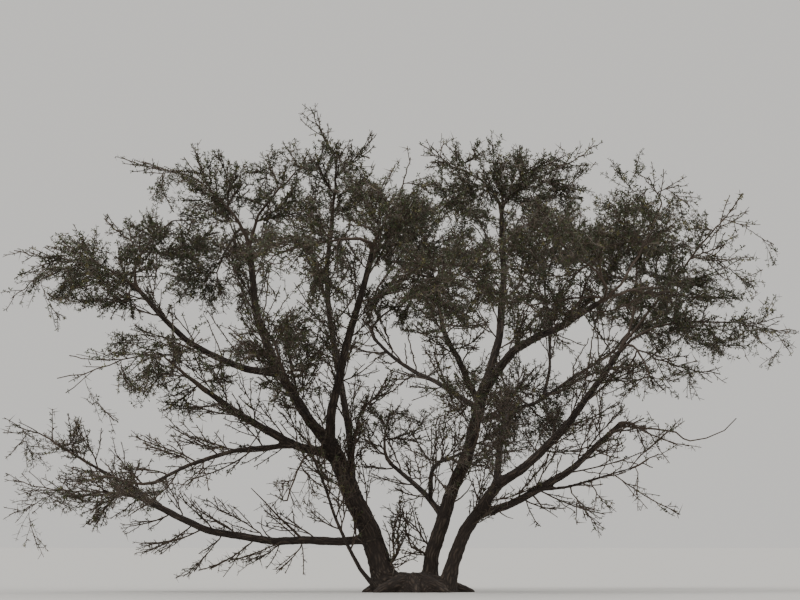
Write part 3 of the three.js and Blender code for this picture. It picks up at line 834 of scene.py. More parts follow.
    def grow(self) -> tuple[list[Twig], list[Array]]:
        """Grows every mass.

        Returns:
            All the twigs, and the three points of each mass's own stem.
        """
        twigs, stems = [], []
        vigour = Vigour()
        for mass, (name, spec) in enumerate(MASSES.items()):
            random = Seeded(mass + 1)
            live = vigour.mass.get(name, 1.0)
            nodes, course = self.stem(mass, spec)
            stems.append(course)
            targets = self.targets(mass, 1, self.shell, mass)
            near = np.argsort(np.linalg.norm(targets - nodes[0].at, axis=1), kind="stable")
            for i, target in enumerate([*np.array(spec.tips, dtype=float).reshape(-1, 3), *targets[near]]):
                grown = self.reach(mass, nodes, target, random, self.twig_radius)
                if grown is None:
                    continue
                twig, places = grown
                made = [twig, *(self.spray(mass, place, random) for place in places)]
                share = live * vigour.outlying if i < len(spec.tips) else live
                twigs.extend(replace(t, live=share) for t in made if t is not None)
            further = self.targets(mass, self.fill * live, self.fill_shell, mass + self.fill_turn)
            for target in [*np.array(BETWEEN.get(name, ()), dtype=float).reshape(-1, 3), *further]:
                grown = self.reach(mass, nodes, target, random, self.fill_radius)
                if grown:
                    twigs.append(replace(grown[0], live=live))
        return twigs, stems


# Finer growth


@dataclass
class Lines:
    """Many twigs of one order.

    Attributes:
        points: Their courses (count, steps + 1, 3).
        radii: The radius at each point (count, steps + 1).
        plane: A direction across each, in the plane in which it branches.
        live: How thickly each is set with shoots and leaves.
    """

    points: Array
    radii: Array
    plane: Array
    live: Array

    @property
    def lengths(self) -> Array:
        """Length of each."""
        return np.linalg.norm(np.diff(self.points, axis=1), axis=2).sum(axis=1)

    def keep(self, wanted: Array) -> "Lines":
        """Those that a mask or an index names."""
        return Lines(self.points[wanted], self.radii[wanted], self.plane[wanted], self.live[wanted])

    def at(self, which: Array, share: Array) -> tuple[Array, Array, Array]:
        """Places along some of the twigs.

        Args:
            which: The number of each place's twig.
            share: How far along it the place is.

        Returns:
            The point, the direction and the radius at each.
        """
        steps = self.points.shape[1] - 1
        place = np.clip(share, 0, 1 - TINY) * steps
        low = place.astype(int)
        part = (place - low)[:, None]
        a, b = self.points[which, low], self.points[which, low + 1]
        radius = self.radii[which, low] * (1 - part[:, 0]) + self.radii[which, low + 1] * part[:, 0]
        return a + (b - a) * part, unit(b - a), radius

    @staticmethod
    def joined(parts: "Iterable[Lines]") -> "Lines":
        """Several as one.

        Args:
            parts: Lines of the same number of steps.

        Returns:
            All of them, in that order.
        """
        parts = list(parts)
        keys = ("points", "radii", "plane", "live")
        return Lines(*(np.concatenate([getattr(part, key) for part in parts]) for key in keys))


def between(ends: tuple[float, float], share: Array | float) -> Array | float:
    """The value at a share of the way between two ends."""
    low, high = ends
    return low + (high - low) * share


def square_part(plane: Array, lead: Array, bias: float = 0.0) -> Array:
    """Unit vectors of what is square to each lead in each of some directions."""
    return unit(plane - lead * (plane * lead).sum(axis=1, keepdims=True) + bias)


def spread(room: Array) -> tuple[Array, Array, Array]:
    """Shares out places among twigs, at least one to each.

    Args:
        room: How many places each twig has room for.

    Returns:
        For every place, its twig's number, its turn on that twig, and how many that twig has.
    """
    counts = np.maximum(1, np.round(room)).astype(int)
    which = np.repeat(np.arange(len(counts)), counts)
    return which, np.concatenate([np.arange(c) for c in counts]), counts[which]


@dataclass(frozen=True)
class Order:
    """How twigs of one order stand on those of the order before.

    Lengths are in millimetres and angles in degrees.

    Attributes:
        spacing: Distance between two along the parent.
        first: Share of the parent from which they stand.
        last: Share up to which they stand.
        length: Least and most length where they are longest.
        angle: Least and most angle from the parent's heading.
        roll: How far they stray out of the parent's plane.
        lift: How much they turn upwards.
        follow: How much they turn back to the parent's heading.
        wander: How crooked they are.
        radius: At the root and at the tip.
        steps: Straight pieces in each.
        at_tip: Their length at the parent's tip, as a share of that at its root.
    """

    spacing: float
    first: float
    last: float
    length: tuple[float, float]
    angle: tuple[float, float]
    roll: float
    lift: float
    follow: float
    wander: float
    radius: tuple[float, float]
    steps: int
    at_tip: float


@dataclass
class Brush:
    """Side shoots of two further orders on every twig."""

    limbs: Limbs
    shoots: Order = Order(43, 0.08, 0.97, (250, 460), (17, 42), 65, 0.12, 1.1, 0.1, (8.0, 5.0), 4, 0.36)
    offshoots: Order = Order(42, 0.12, 0.97, (40, 115), (34, 66), 90, 0.08, 0.2, 0.1, (5.9, 3.9), 1, 0.6)
    place: tuple[float, float] = (0.2, 0.8)  # where in its own stretch of the parent one may stand
    tilt: float = 0.3
    sway: tuple[float, float] = (0.4, 1.6)
    on_parent: float = 0.85
    taper: float = 0.8
    limb_gap: float = 4
    box_margin: float = 0.012
    lowest: float = 60
    thinned: float = 0.8  # share of those in the crown's gaps that are dropped
    eye: tuple[float, float] = (40000, 500)  # distance and height from which the gaps are seen
    seed: int = 11

    def __post_init__(self) -> None:
        """Starts the random numbers."""
        self.random = np.random.default_rng(self.seed)
        low, high = (np.array(c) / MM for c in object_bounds())
        margin = self.box_margin * (high - low)
        self.low, self.high = low - margin, high + margin
        self.low[2] = self.lowest

    def sprout(self, parents: Lines, order: Order) -> Lines:
        """Twigs of the next order.

        Args:
            parents: What they stand on.
            order: How they stand.

        Returns:
            The new twigs, without those that run into something or close a gap.
        """
        room = parents.lengths * parents.live * (order.last - order.first)
        which, turn, counts = spread(room / order.spacing)
        place, roll, angle, length, sway, _ = self.random.random((len(which), 6)).T
        place = turn + between(self.place, place)
        share = order.first + (order.last - order.first) * place / counts
        start, lead, girth = parents.at(which, share)
        plane = square_part(parents.plane[which], lead)
        roll = np.radians(order.roll) * (2 * roll - 1) + np.pi * ((turn + which) % 2)
        side = plane * np.cos(roll)[:, None] + np.cross(lead, plane) * np.sin(roll)[:, None]
        angle = np.radians(between(order.angle, angle))[:, None]
        first = lead * np.cos(angle) + side * np.sin(angle)
        last = unit(first + order.follow * lead + order.lift * UP)
        length = between(order.length, length) * (1 + (order.at_tip - 1) * share)
        points = [start]
        step = (length / order.steps)[:, None]
        across = unit(np.cross(first, side + self.tilt * UP))
        swing = across * (order.wander * between(self.sway, sway))[:, None]
        for k in range(order.steps):
            way = first + (last - first) * (k + 0.5) / order.steps
            drift = order.wander * (self.random.random((len(which), 3)) - 0.5)
            points.append(points[-1] + unit(way + (swing if k % 2 else -swing) + drift) * step)
        thick, thin = order.radius
        thick = np.minimum(thick, self.on_parent * girth)
        thin = np.minimum(thin, self.taper * thick)
        radii = thick[:, None] + (thin - thick)[:, None] * np.linspace(0, 1, order.steps + 1)
        made = Lines(np.stack(points, axis=1), radii, unit(np.cross(last, across)), parents.live[which])
        return made.keep(self.fits(made))

    def fits(self, lines: Lines) -> Array:
        """Which twigs stay off the limbs, off the floor, in the model's box and mostly out of the gaps.

        Args:
            lines: The twigs.

        Returns:
            True for those.
        """
        p = lines.points[:, 1:].reshape(-1, 3)
        fit = (self.limbs.gap(p) > self.limb_gap) & ((p > self.low) & (p < self.high)).all(axis=1)
        distance, height = self.eye
        nearness = 1 + p[:, 1] / distance
        seen = np.stack([p[:, 0] / nearness, height + (p[:, 2] - height) / nearness], axis=1)
        gaps = np.array(GAPS, dtype=float)
        depth = np.linalg.norm((seen[:, None] - gaps[:, :2]) / gaps[:, 2:], axis=2).min(axis=1)
        count = len(lines.points)
        fit, in_gap = fit.reshape(count, -1).all(axis=1), (depth < 1).reshape(count, -1).any(axis=1)
        return fit & ~(in_gap & (self.random.random(count) < self.thinned))


class TwigShapes:
    """Turns the twigs of the masses into lines of a common number of steps."""

    STEPS = 8
    STRAIGHT = (0, 3, 5, 8)
    ZIGZAG = 0.016
    TIP_RADIUS = 5.0

    @classmethod
    def lines(cls, twigs: Sequence[Twig]) -> Lines:
        """The courses of twigs, bowed and slightly zigzag.

        Args:
            twigs: The twigs.

        Returns:
            Their lines.
        """
        shares = np.linspace(0, 1, cls.STEPS + 1)
        points = np.stack([t.course(shares) for t in twigs])
        spans = np.linalg.norm(points[:, -1] - points[:, 0], axis=1)
        flat = np.stack([t.flat for t in twigs])
        swing = np.where(np.arange(cls.STEPS + 1) % 2, 1.0, -1.0)
        swing[list(cls.STRAIGHT)] = 0
        points += flat[:, None] * (swing[None, :, None] * (cls.ZIGZAG * spans)[:, None, None])
        thick = np.array([t.radius for t in twigs])
        radii = thick[:, None] + (cls.TIP_RADIUS - thick)[:, None] * shares
        return Lines(points, radii, flat, np.array([t.live for t in twigs]))


@dataclass
class SideTwigs:
    """Twigs that stand straight on the stems and boughs, between the forks."""

    limbs: Limbs
    spacing: float = 112
    length: tuple[float, float] = (300, 760)
    angle: tuple[float, float] = (22, 52)
    radius: float = 8
    on_limb: float = 0.5
    live: float = 0.55
    seed: int = 23
    stem_from: float = 0.42
    bough_from: float = 0.2
    up_to: float = 0.98
    stray: float = 0.3
    twist: float = 0.5
    low_droop: float = -0.45
    high_lift: float = 0.3

    def lines(self) -> Lines:
        """The side twigs of all limbs.

        Returns:
            Lines of as many steps as the masses' twigs have.
        """
        random = np.random.default_rng(self.seed)
        twigs = []
        for name, limb in self.limbs.limbs.items():
            lift = self.low_droop if name.startswith("bough_low") else self.high_lift
            first = self.stem_from if name in STEMS else self.bough_from
            count = round(limb.length * (1 - first) / self.spacing)
            for k in range(count):
                share = first + (1 - first) * (k + random.random()) / count
                if share > self.up_to:
                    continue
                lead, girth = limb.lead(share), float(limb.radius_at(share))
                bearing = 2 * math.pi * (k * GOLDEN + self.stray * random.random())
                side = turned(square_to(lead), lead, bearing)
                angle = math.radians(random.uniform(*self.angle))
                rise = UP * (lift * random.random())
                out = unit(lead * math.cos(angle) + side * math.sin(angle) + rise)
                start = limb.point(share)
                tip = start + out * (random.uniform(*self.length) + girth)
                flat = unit(np.cross(out, UP) + self.twist * (random.random(3) - 0.5))
                twigs.append(Twig(start, tip, side, min(self.radius, self.on_limb * girth), flat, self.live))
        return TwigShapes.lines(twigs)


@dataclass(frozen=True)
class Snag:
    """A small branch straight on a limb: its way as offsets from its root, and its radii at the ends.

    live is 0 for a dead and bare one.
    """

    on: str
    at: float
    way: tuple[tuple[float, float, float], ...]
    radius: tuple[float, float]
    live: float = 0.0


SNAGS = (
    # dead and bare
    Snag("bough_low_west", 0.3, ((-110, -50, 110), (-260, -90, 250), (-390, -80, 390), (-520, -60, 520)),
         (15, 4)),
    Snag("bough_low_west", 0.42, ((-90, 30, 60), (-150, 60, 150), (-140, 80, 260)), (9, 3)),
    Snag("bough_low_east", 0.34, ((60, -30, -70), (110, -60, -140), (190, -80, -190), (260, -90, -240)),
         (10, 3)),
    Snag("bough_low_east", 0.12, ((60, 10, -50), (110, 20, -80), (170, 20, -95)), (8, 3)),
    Snag("bough_low_east", 1.0,
         ((180, -20, -30), (530, -40, -50), (626, -50, -135), (715, -50, -165), (990, -60, -95),
          (1148, -60, 65)), (12, 5)),
    Snag("bough_low_east", 0.98, ((100, -10, 10), (270, -20, 92)), (13, 6)),
    Snag("bough_mid_west", 0.55, ((-40, -60, -90), (-110, -120, -190), (-160, -170, -320)), (9, 3)),
    Snag("stem_middle", 0.42, ((120, -60, 60), (210, -110, 150), (260, -150, 260)), (10, 3)),
    # young shoots from the stool, between the stems
    Snag("stem_west", 0.1, ((60, -60, 90), (100, -90, 230), (80, -110, 400), (110, -130, 560)), (17, 7), 0.8),
    Snag("stem_west", 0.14, ((90, 40, 60), (170, 60, 190), (150, 70, 360), (190, 80, 520), (170, 90, 700)),
         (15, 6), 0.8),
    Snag("stem_middle", 0.16, ((-90, -50, 60), (-200, -80, 110), (-260, -90, 280), (-250, -110, 470)),
         (14, 6), 0.8),
    Snag("stem_middle", 0.2, ((-90, 60, 90), (-170, 90, 220), (-300, 120, 330), (-420, 130, 370)),
         (12, 5), 0.7),
    Snag("stem_thin", 0.35, ((60, 60, 130), (40, 110, 320), (90, 150, 520)), (12, 5), 0.7),
    # a slim riser beside the leader
    Snag("stem_west", 0.72,
         ((60, -90, 180), (75, -140, 420), (120, -170, 640), (230, -200, 800), (350, -210, 880),
          (440, -220, 1010)), (19, 7), 1.0),
)


# Mesh making


class Recipe:
    """A geometry node tree with named inputs, run once on a mesh and baked into a plain one."""

    def __init__(self, name: str, inputs: dict[str, tuple[str, object]]) -> None:
        """Starts the tree.

        Args:
            name: The tree's name.
            inputs: For each named input, its socket type and its value.
        """
        self.tree = bpy.data.node_groups.new(name, "GeometryNodeTree")
        face = self.tree.interface
        face.new_socket("Geometry", in_out="INPUT", socket_type="NodeSocketGeometry")
        self.ids: dict[str, str] = {}
        for label, (kind, _) in inputs.items():
            self.ids[label] = face.new_socket(label, in_out="INPUT", socket_type=kind).identifier
        face.new_socket("Geometry", in_out="OUTPUT", socket_type="NodeSocketGeometry")
        self.values = {label: value for label, (_, value) in inputs.items()}
        self.source = node(self.tree, "NodeGroupInput").outputs

    def finish(self, geometry: NodeSocket, material: Material) -> None:
        """Ends the tree in Realize Instances and Set Material.

        Args:
            geometry: What the tree has made.
            material: Its finish.
        """
        real = node(self.tree, "GeometryNodeRealizeInstances", {"Geometry": geometry}).outputs[0]
        dressed = node(self.tree, "GeometryNodeSetMaterial", {"Geometry": real, "Material": material})
        node(self.tree, "NodeGroupOutput", {0: dressed.outputs[0]})

    def bake(self, name: str, mesh: Mesh, **changes: object) -> Mesh:
        """Runs the tree on a mesh.

        Args:
            name: Name of the new mesh.
            mesh: What goes in.
            **changes: Values of named inputs that differ from the tree's own, with _ for a space.

        Returns:
            The plain mesh that comes out.
        """
        carrier = bpy.data.objects.new(name, mesh)
        bpy.context.scene.collection.objects.link(carrier)
        modifier = carrier.modifiers.new("nodes", "NODES")
        modifier.node_group = self.tree
        changed = {label.replace("_", " "): value for label, value in changes.items()}
        for label, value in {**self.values, **changed}.items():
            modifier[self.ids[label]] = value
        baked = plain_mesh(carrier, name)
        bpy.data.objects.remove(carrier)
        return baked


def plain_mesh(carrier: Object, name: str) -> Mesh:
    """The mesh that an object's modifiers make.

    Args:
        carrier: The object.
        name: Name of the new mesh.

    Returns:
        A mesh of its own.
    """
    graph = bpy.context.evaluated_depsgraph_get()
    made = bpy.data.meshes.new_from_object(carrier.evaluated_get(graph), depsgraph=graph)
    made.name = name
    return made


def joined_mesh(name: str, meshes: Sequence[Mesh], material: Material) -> Mesh:
    """Several meshes as one.

    Args:
        name: Name of the new mesh.
        meshes: One or more, all of one material.
        material: That material.

    Returns:
        The one mesh.
    """
    if len(meshes) == 1:
        return meshes[0]
    work = bmesh.new()
    for mesh in meshes:
        work.from_mesh(mesh)
    whole = bpy.data.meshes.new(name)
    work.to_mesh(whole)
    work.free()
    whole.materials.clear()
    whole.materials.append(material)
    return whole


def put(name: str, mesh: Mesh, replaced: Sequence[str] = ()) -> Object:
    """Places a finished mesh in the scene as a piece of the tree.

    Args:
        name: The piece's name.
        mesh: Its mesh, already in place.
        replaced: The solids for which it stands.

    Returns:
        The new object.
    """
    mesh.name = name
    piece = bpy.data.objects.new(name, mesh)
    bpy.context.scene.collection.objects.link(piece)
    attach(piece, "root")
    if replaced:
        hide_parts(*replaced)
    mesh.calc_loop_triangles()
    LOG.info("%s: %d triangles, for %d solids", name, len(mesh.loop_triangles), len(replaced))
    return piece


def set_attribute(mesh: Mesh, name: str, kind: str, values: Array) -> None:
    """Stores numbers or vectors on a mesh's vertices.

    Args:
        mesh: The mesh.
        name: The attribute's name.
        kind: Its data type.
        values: One for each vertex.
    """
    layer = mesh.attributes.new(name, kind, "POINT")
    key = "vector" if kind == "FLOAT_VECTOR" else "value"
    layer.data.foreach_set(key, np.ascontiguousarray(values, np.float32).ravel())


# Finishes


def per_metre(size: float) -> float:
    """The scale of a pattern whose features are of a size in millimetres."""
    return 1 / (size * MM)


@dataclass(frozen=True)
class Grain:
    """The plates and fissures of old bark, in the limb's own straightened coordinates."""

    around: float = 27  # a plate's width
    along: float = 200  # and its length
    bend: float = 50  # how far the fissures wander
    bend_size: float = 1000 / 9
    stray: float = 0.9
    slope: tuple[float, float] = (0.01, 0.42)  # a fissure's floor and a plate's top, as shares of a plate

    def vector(self, tree: NodeTree, source: NodeSocket) -> NodeSocket:
        """The coordinates, squeezed so that one cell is one plate of bark.

        Args:
            tree: The shader or geometry tree.
            source: The straightened coordinates, in metres.

        Returns:
            The squeezed ones.
        """
        bent = node(tree, "ShaderNodeTexNoise", {
            "Vector": source, "Scale": per_metre(self.bend_size), "Detail": 2.0})
        place = bent.outputs["Color"]
        scale = tuple(per_metre(size) for size in (self.around, self.around, self.along))
        for operation, socket, value in (
                ("SUBTRACT", 1, (0.5, 0.5, 0.5)), ("SCALE", "Scale", self.bend * MM), ("ADD", 1, source),
                ("MULTIPLY", 1, scale)):
            place = node(tree, "ShaderNodeVectorMath", {0: place, socket: value},
                         operation=operation).outputs[0]
        return place

    def height(self, tree: NodeTree, vector: NodeSocket) -> NodeSocket:
        """The height of the bark, 0 in a fissure and 1 on a plate.

        Args:
            tree: The shader or geometry tree.
            vector: The squeezed coordinates.

        Returns:
            The height.
        """
        edge = node(tree, "ShaderNodeTexVoronoi", {"Vector": vector, "Scale": 1.0, "Randomness": self.stray},
                    feature="DISTANCE_TO_EDGE").outputs["Distance"]
        floor, top = self.slope
        return node(tree, "ShaderNodeMapRange", {"Value": edge, "From Min": floor, "From Max": top},
                    interpolation_type="SMOOTHSTEP").outputs[0]


def new_material(name: str, roughness: float) -> tuple[Material, NodeTree, Node]:
    """Starts a finish.

    Args:
        name: The material's name.
        roughness: From 0 for a mirror to 1.

    Returns:
        The material, its tree and its shader.
    """
    material = bpy.data.materials.new(name)
    material.use_nodes = True
    tree = material.node_tree
    tree.nodes.clear()
    shader = node(tree, "ShaderNodeBsdfPrincipled", {"Roughness": roughness})
    node(tree, "ShaderNodeOutputMaterial", {"Surface": shader.outputs[0]})
    return material, tree, shader


@dataclass(frozen=True)
class FissuredBark:
    """Old bark of an acacia: thick corky plates, weathered grey on the ridges; the dark of the fissures is
    partly the bark's own colour, partly painted shade.
    """

    # the fissures' colour: partly the bark's own, partly painted shade, darkest where the relief sinks
    # deepest
    fissure: str = "#241c17"
    plate: str = "#3f342b"
    weathered: str = "#5a5046"
    roughness: float = 0.93
    grain: Grain = Grain()
    scales: float = 3.2  # across a plate, so each is about 8 mm wide
    scale_height: float = 0.55
    patch: float = 1000 / 2.6  # of weathering
    patch_edge: tuple[float, float] = (0.38, 0.66)
    bump: tuple[float, float] = (0.7, 8)  # strength and depth

    def material(self) -> Material:
        """Rough and dull, with a fine scaly grain over the plates that the mesh carries.

        Returns:
            The material.
        """
        material, tree, shader = new_material("fissured acacia bark", self.roughness)
        source = node(tree, "ShaderNodeAttribute", attribute_name="grain").outputs["Vector"]
        vector = self.grain.vector(tree, source)
        height = self.grain.height(tree, vector)
        scales = node(tree, "ShaderNodeTexNoise", {
            "Vector": vector, "Scale": self.scales, "Detail": 6.0, "Roughness": 0.62}).outputs["Fac"]
        broad = node(tree, "ShaderNodeTexNoise", {
            "Vector": source, "Scale": per_metre(self.patch), "Detail": 3.0}).outputs["Fac"]
        plain, bleached = self.patch_edge
        patch = node(tree, "ShaderNodeMapRange", {
            "Value": broad, "From Min": plain, "From Max": bleached}).outputs[0]
        colour = linear(self.weathered)
        # the last mix darkens the fissures by the relief's own height: partly the bark's colour there, partly
        # painted shade in the recesses
        for share, other in ((patch, self.plate), (scales, self.plate), (height, self.fissure)):
            colour = node(tree, "ShaderNodeMix", {"Factor": share, 6: linear(other), 7: colour},
                          data_type="RGBA").outputs[2]
        tree.links.new(colour, shader.inputs["Base Color"])
        relief = node(tree, "ShaderNodeMath", {0: scales, 1: self.scale_height, 2: height},
                      operation="MULTIPLY_ADD")
        strength, depth = self.bump
        bump = node(tree, "ShaderNodeBump", {
            "Height": relief.outputs[0], "Strength": strength, "Distance": depth * MM})
        tree.links.new(bump.outputs[0], shader.inputs["Normal"])
        return material


@dataclass(frozen=True)
class YoungBark:
    """Bark of one to five year old twigs: thin, grey-brown, with pale lenticels."""

    shade: str = "#2e241c"
    light: str = "#4a3c30"
    lenticel: str = "#6f6152"
    roughness: float = 0.8
    patch: float = 62.5  # of one shade
    spacing: float = 1000 / 110  # of the lenticels
    edge: tuple[float, float] = (0.16, 0.3)  # of a lenticel, as shares of their spacing
    paleness: float = 0.6
    bump: tuple[float, float] = (0.4, 2)

    def material(self) -> Material:
        """Dull and mottled, with the lenticels drawn about 5 mm across so that they show.

        Returns:
            The material.
        """
        material, tree, shader = new_material("young acacia bark", self.roughness)
        place = node(tree, "ShaderNodeTexCoord").outputs["Object"]
        patch = node(tree, "ShaderNodeTexNoise", {
            "Vector": place, "Scale": per_metre(self.patch), "Detail": 3.0})
        spots = node(tree, "ShaderNodeTexVoronoi", {"Vector": place, "Scale": per_metre(self.spacing)})
        near, far = self.edge
        dots = node(tree, "ShaderNodeMapRange", {
            "Value": spots.outputs["Distance"], "From Min": near, "From Max": far,
            "To Min": self.paleness, "To Max": 0.0}).outputs[0]
        colour = linear(self.shade)
        for share, other in ((patch.outputs["Fac"], self.light), (dots, self.lenticel)):
            colour = node(tree, "ShaderNodeMix", {"Factor": share, 6: colour, 7: linear(other)},
                          data_type="RGBA").outputs[2]
        tree.links.new(colour, shader.inputs["Base Color"])
        strength, depth = self.bump
        bump = node(tree, "ShaderNodeBump", {"Height": dots, "Strength": strength, "Distance": depth * MM})
        tree.links.new(bump.outputs[0], shader.inputs["Normal"])
        return material


@dataclass(frozen=True)
class Spine:
    """Woody stipular spines: grey-brown when young, weathering darker."""

    young: str = "#62574a"
    old: str = "#3c332b"
    roughness: float = 0.5

    def material(self) -> Material:
        """Hard and slightly polished, so that it keeps a faint gloss.

        Returns:
            The material.
        """
        material, tree, shader = new_material("acacia spine", self.roughness)
        tint = node(tree, "ShaderNodeAttribute", attribute_name="tint").outputs["Fac"]
        colour = node(tree, "ShaderNodeMix", {
            "Factor": tint, 6: linear(self.young), 7: linear(self.old)}, data_type="RGBA")
        tree.links.new(colour.outputs[2], shader.inputs["Base Color"])
        return material


@dataclass(frozen=True)
class Leaflet:
    """Small feathery leaves late in the dry season: dull olive green, some of them yellowing."""

    deep: str = "#262c15"
    fresh: str = "#434c25"
    dry: str = "#625c33"
    roughness: float = 0.62
    leaflet: float = 3.125  # a leaflet's length, over which the shade changes
    freshest: float = 0.75  # tint of a tuft with the lightest green
    yellowing: float = 0.82  # tint from which a tuft yellows

    def material(self) -> Material:
        """Matt, each tuft of its own shade.

        Returns:
            The material.
        """
        material, tree, shader = new_material("acacia leaflets", self.roughness)
        tint = node(tree, "ShaderNodeAttribute", attribute_name="tint").outputs["Fac"]
        low = node(tree, "ShaderNodeMapRange", {"Value": tint, "From Max": self.freshest})
        high = node(tree, "ShaderNodeMapRange", {"Value": tint, "From Min": self.yellowing, "From Max": 1.0})
        place = node(tree, "ShaderNodeTexCoord").outputs["Object"]
        fine = node(tree, "ShaderNodeTexNoise", {
            "Vector": place, "Scale": per_metre(self.leaflet), "Detail": 1.0})
        green = linear(self.fresh)
        for share in (low.outputs[0], fine.outputs["Fac"]):
            green = node(tree, "ShaderNodeMix", {"Factor": share, 6: linear(self.deep), 7: green},
                         data_type="RGBA").outputs[2]
        colour = node(tree, "ShaderNodeMix", {
            "Factor": high.outputs[0], 6: green, 7: linear(self.dry)}, data_type="RGBA")
        tree.links.new(colour.outputs[2], shader.inputs["Base Color"])
        return material


# Sub-assemblies


@dataclass(frozen=True)
class Stool:
    """The low mound that the stems share, and the buttress roots that run out from it."""

    centre: tuple[float, float, float] = (40, 0, 0)
    reach: tuple[float, float, float] = (430, 250, 175)
    heights: tuple[float, float] = (-0.9, 0.92)
    rings: int = 12
    count: int = 8
    seed: int = 5
    stray: float = 0.7
    spread: tuple[float, float] = (600, 430)
    length: tuple[float, float] = (0.72, 1.08)
    start: float = 0.2
    height: float = 95
    points: int = 12
    wander: tuple[float, float] = (30, 1.4)  # how far aside, and in how many half waves
    waves: tuple[float, float] = (3.1, 0.5)  # what turns it from root to root
    arch: float = 22
    root_radius: tuple[float, float] = (110, 36)
    root_thinning: float = 0.8

    def roots(self) -> Iterable[tuple[Array, Array]]:
        """The courses of the roots.

        Returns:
            For each root its points, and the share of its length at each of them.
        """
        random = Seeded(self.seed)
        t = np.linspace(0, 1, self.points)
        aside, bends = self.wander
        turn, offset = self.waves
        for k in range(self.count):
            bearing = math.radians(360 * (k + self.stray * (random() - 0.5)) / self.count)
            out = np.array([math.cos(bearing) * self.spread[0], math.sin(bearing) * self.spread[1], 0])
            root = self.centre + out * self.start + UP * self.height
            tip = self.centre + out * between(self.length, random())
            beside = np.cross(unit(out), UP) * aside * math.sin(turn * k + offset)
            s = t[:, None]
            bend = beside * np.sin(np.pi * bends * s) + UP * self.arch * np.sin(np.pi * s)
            yield root * (1 - s) + tip * s + bend, t


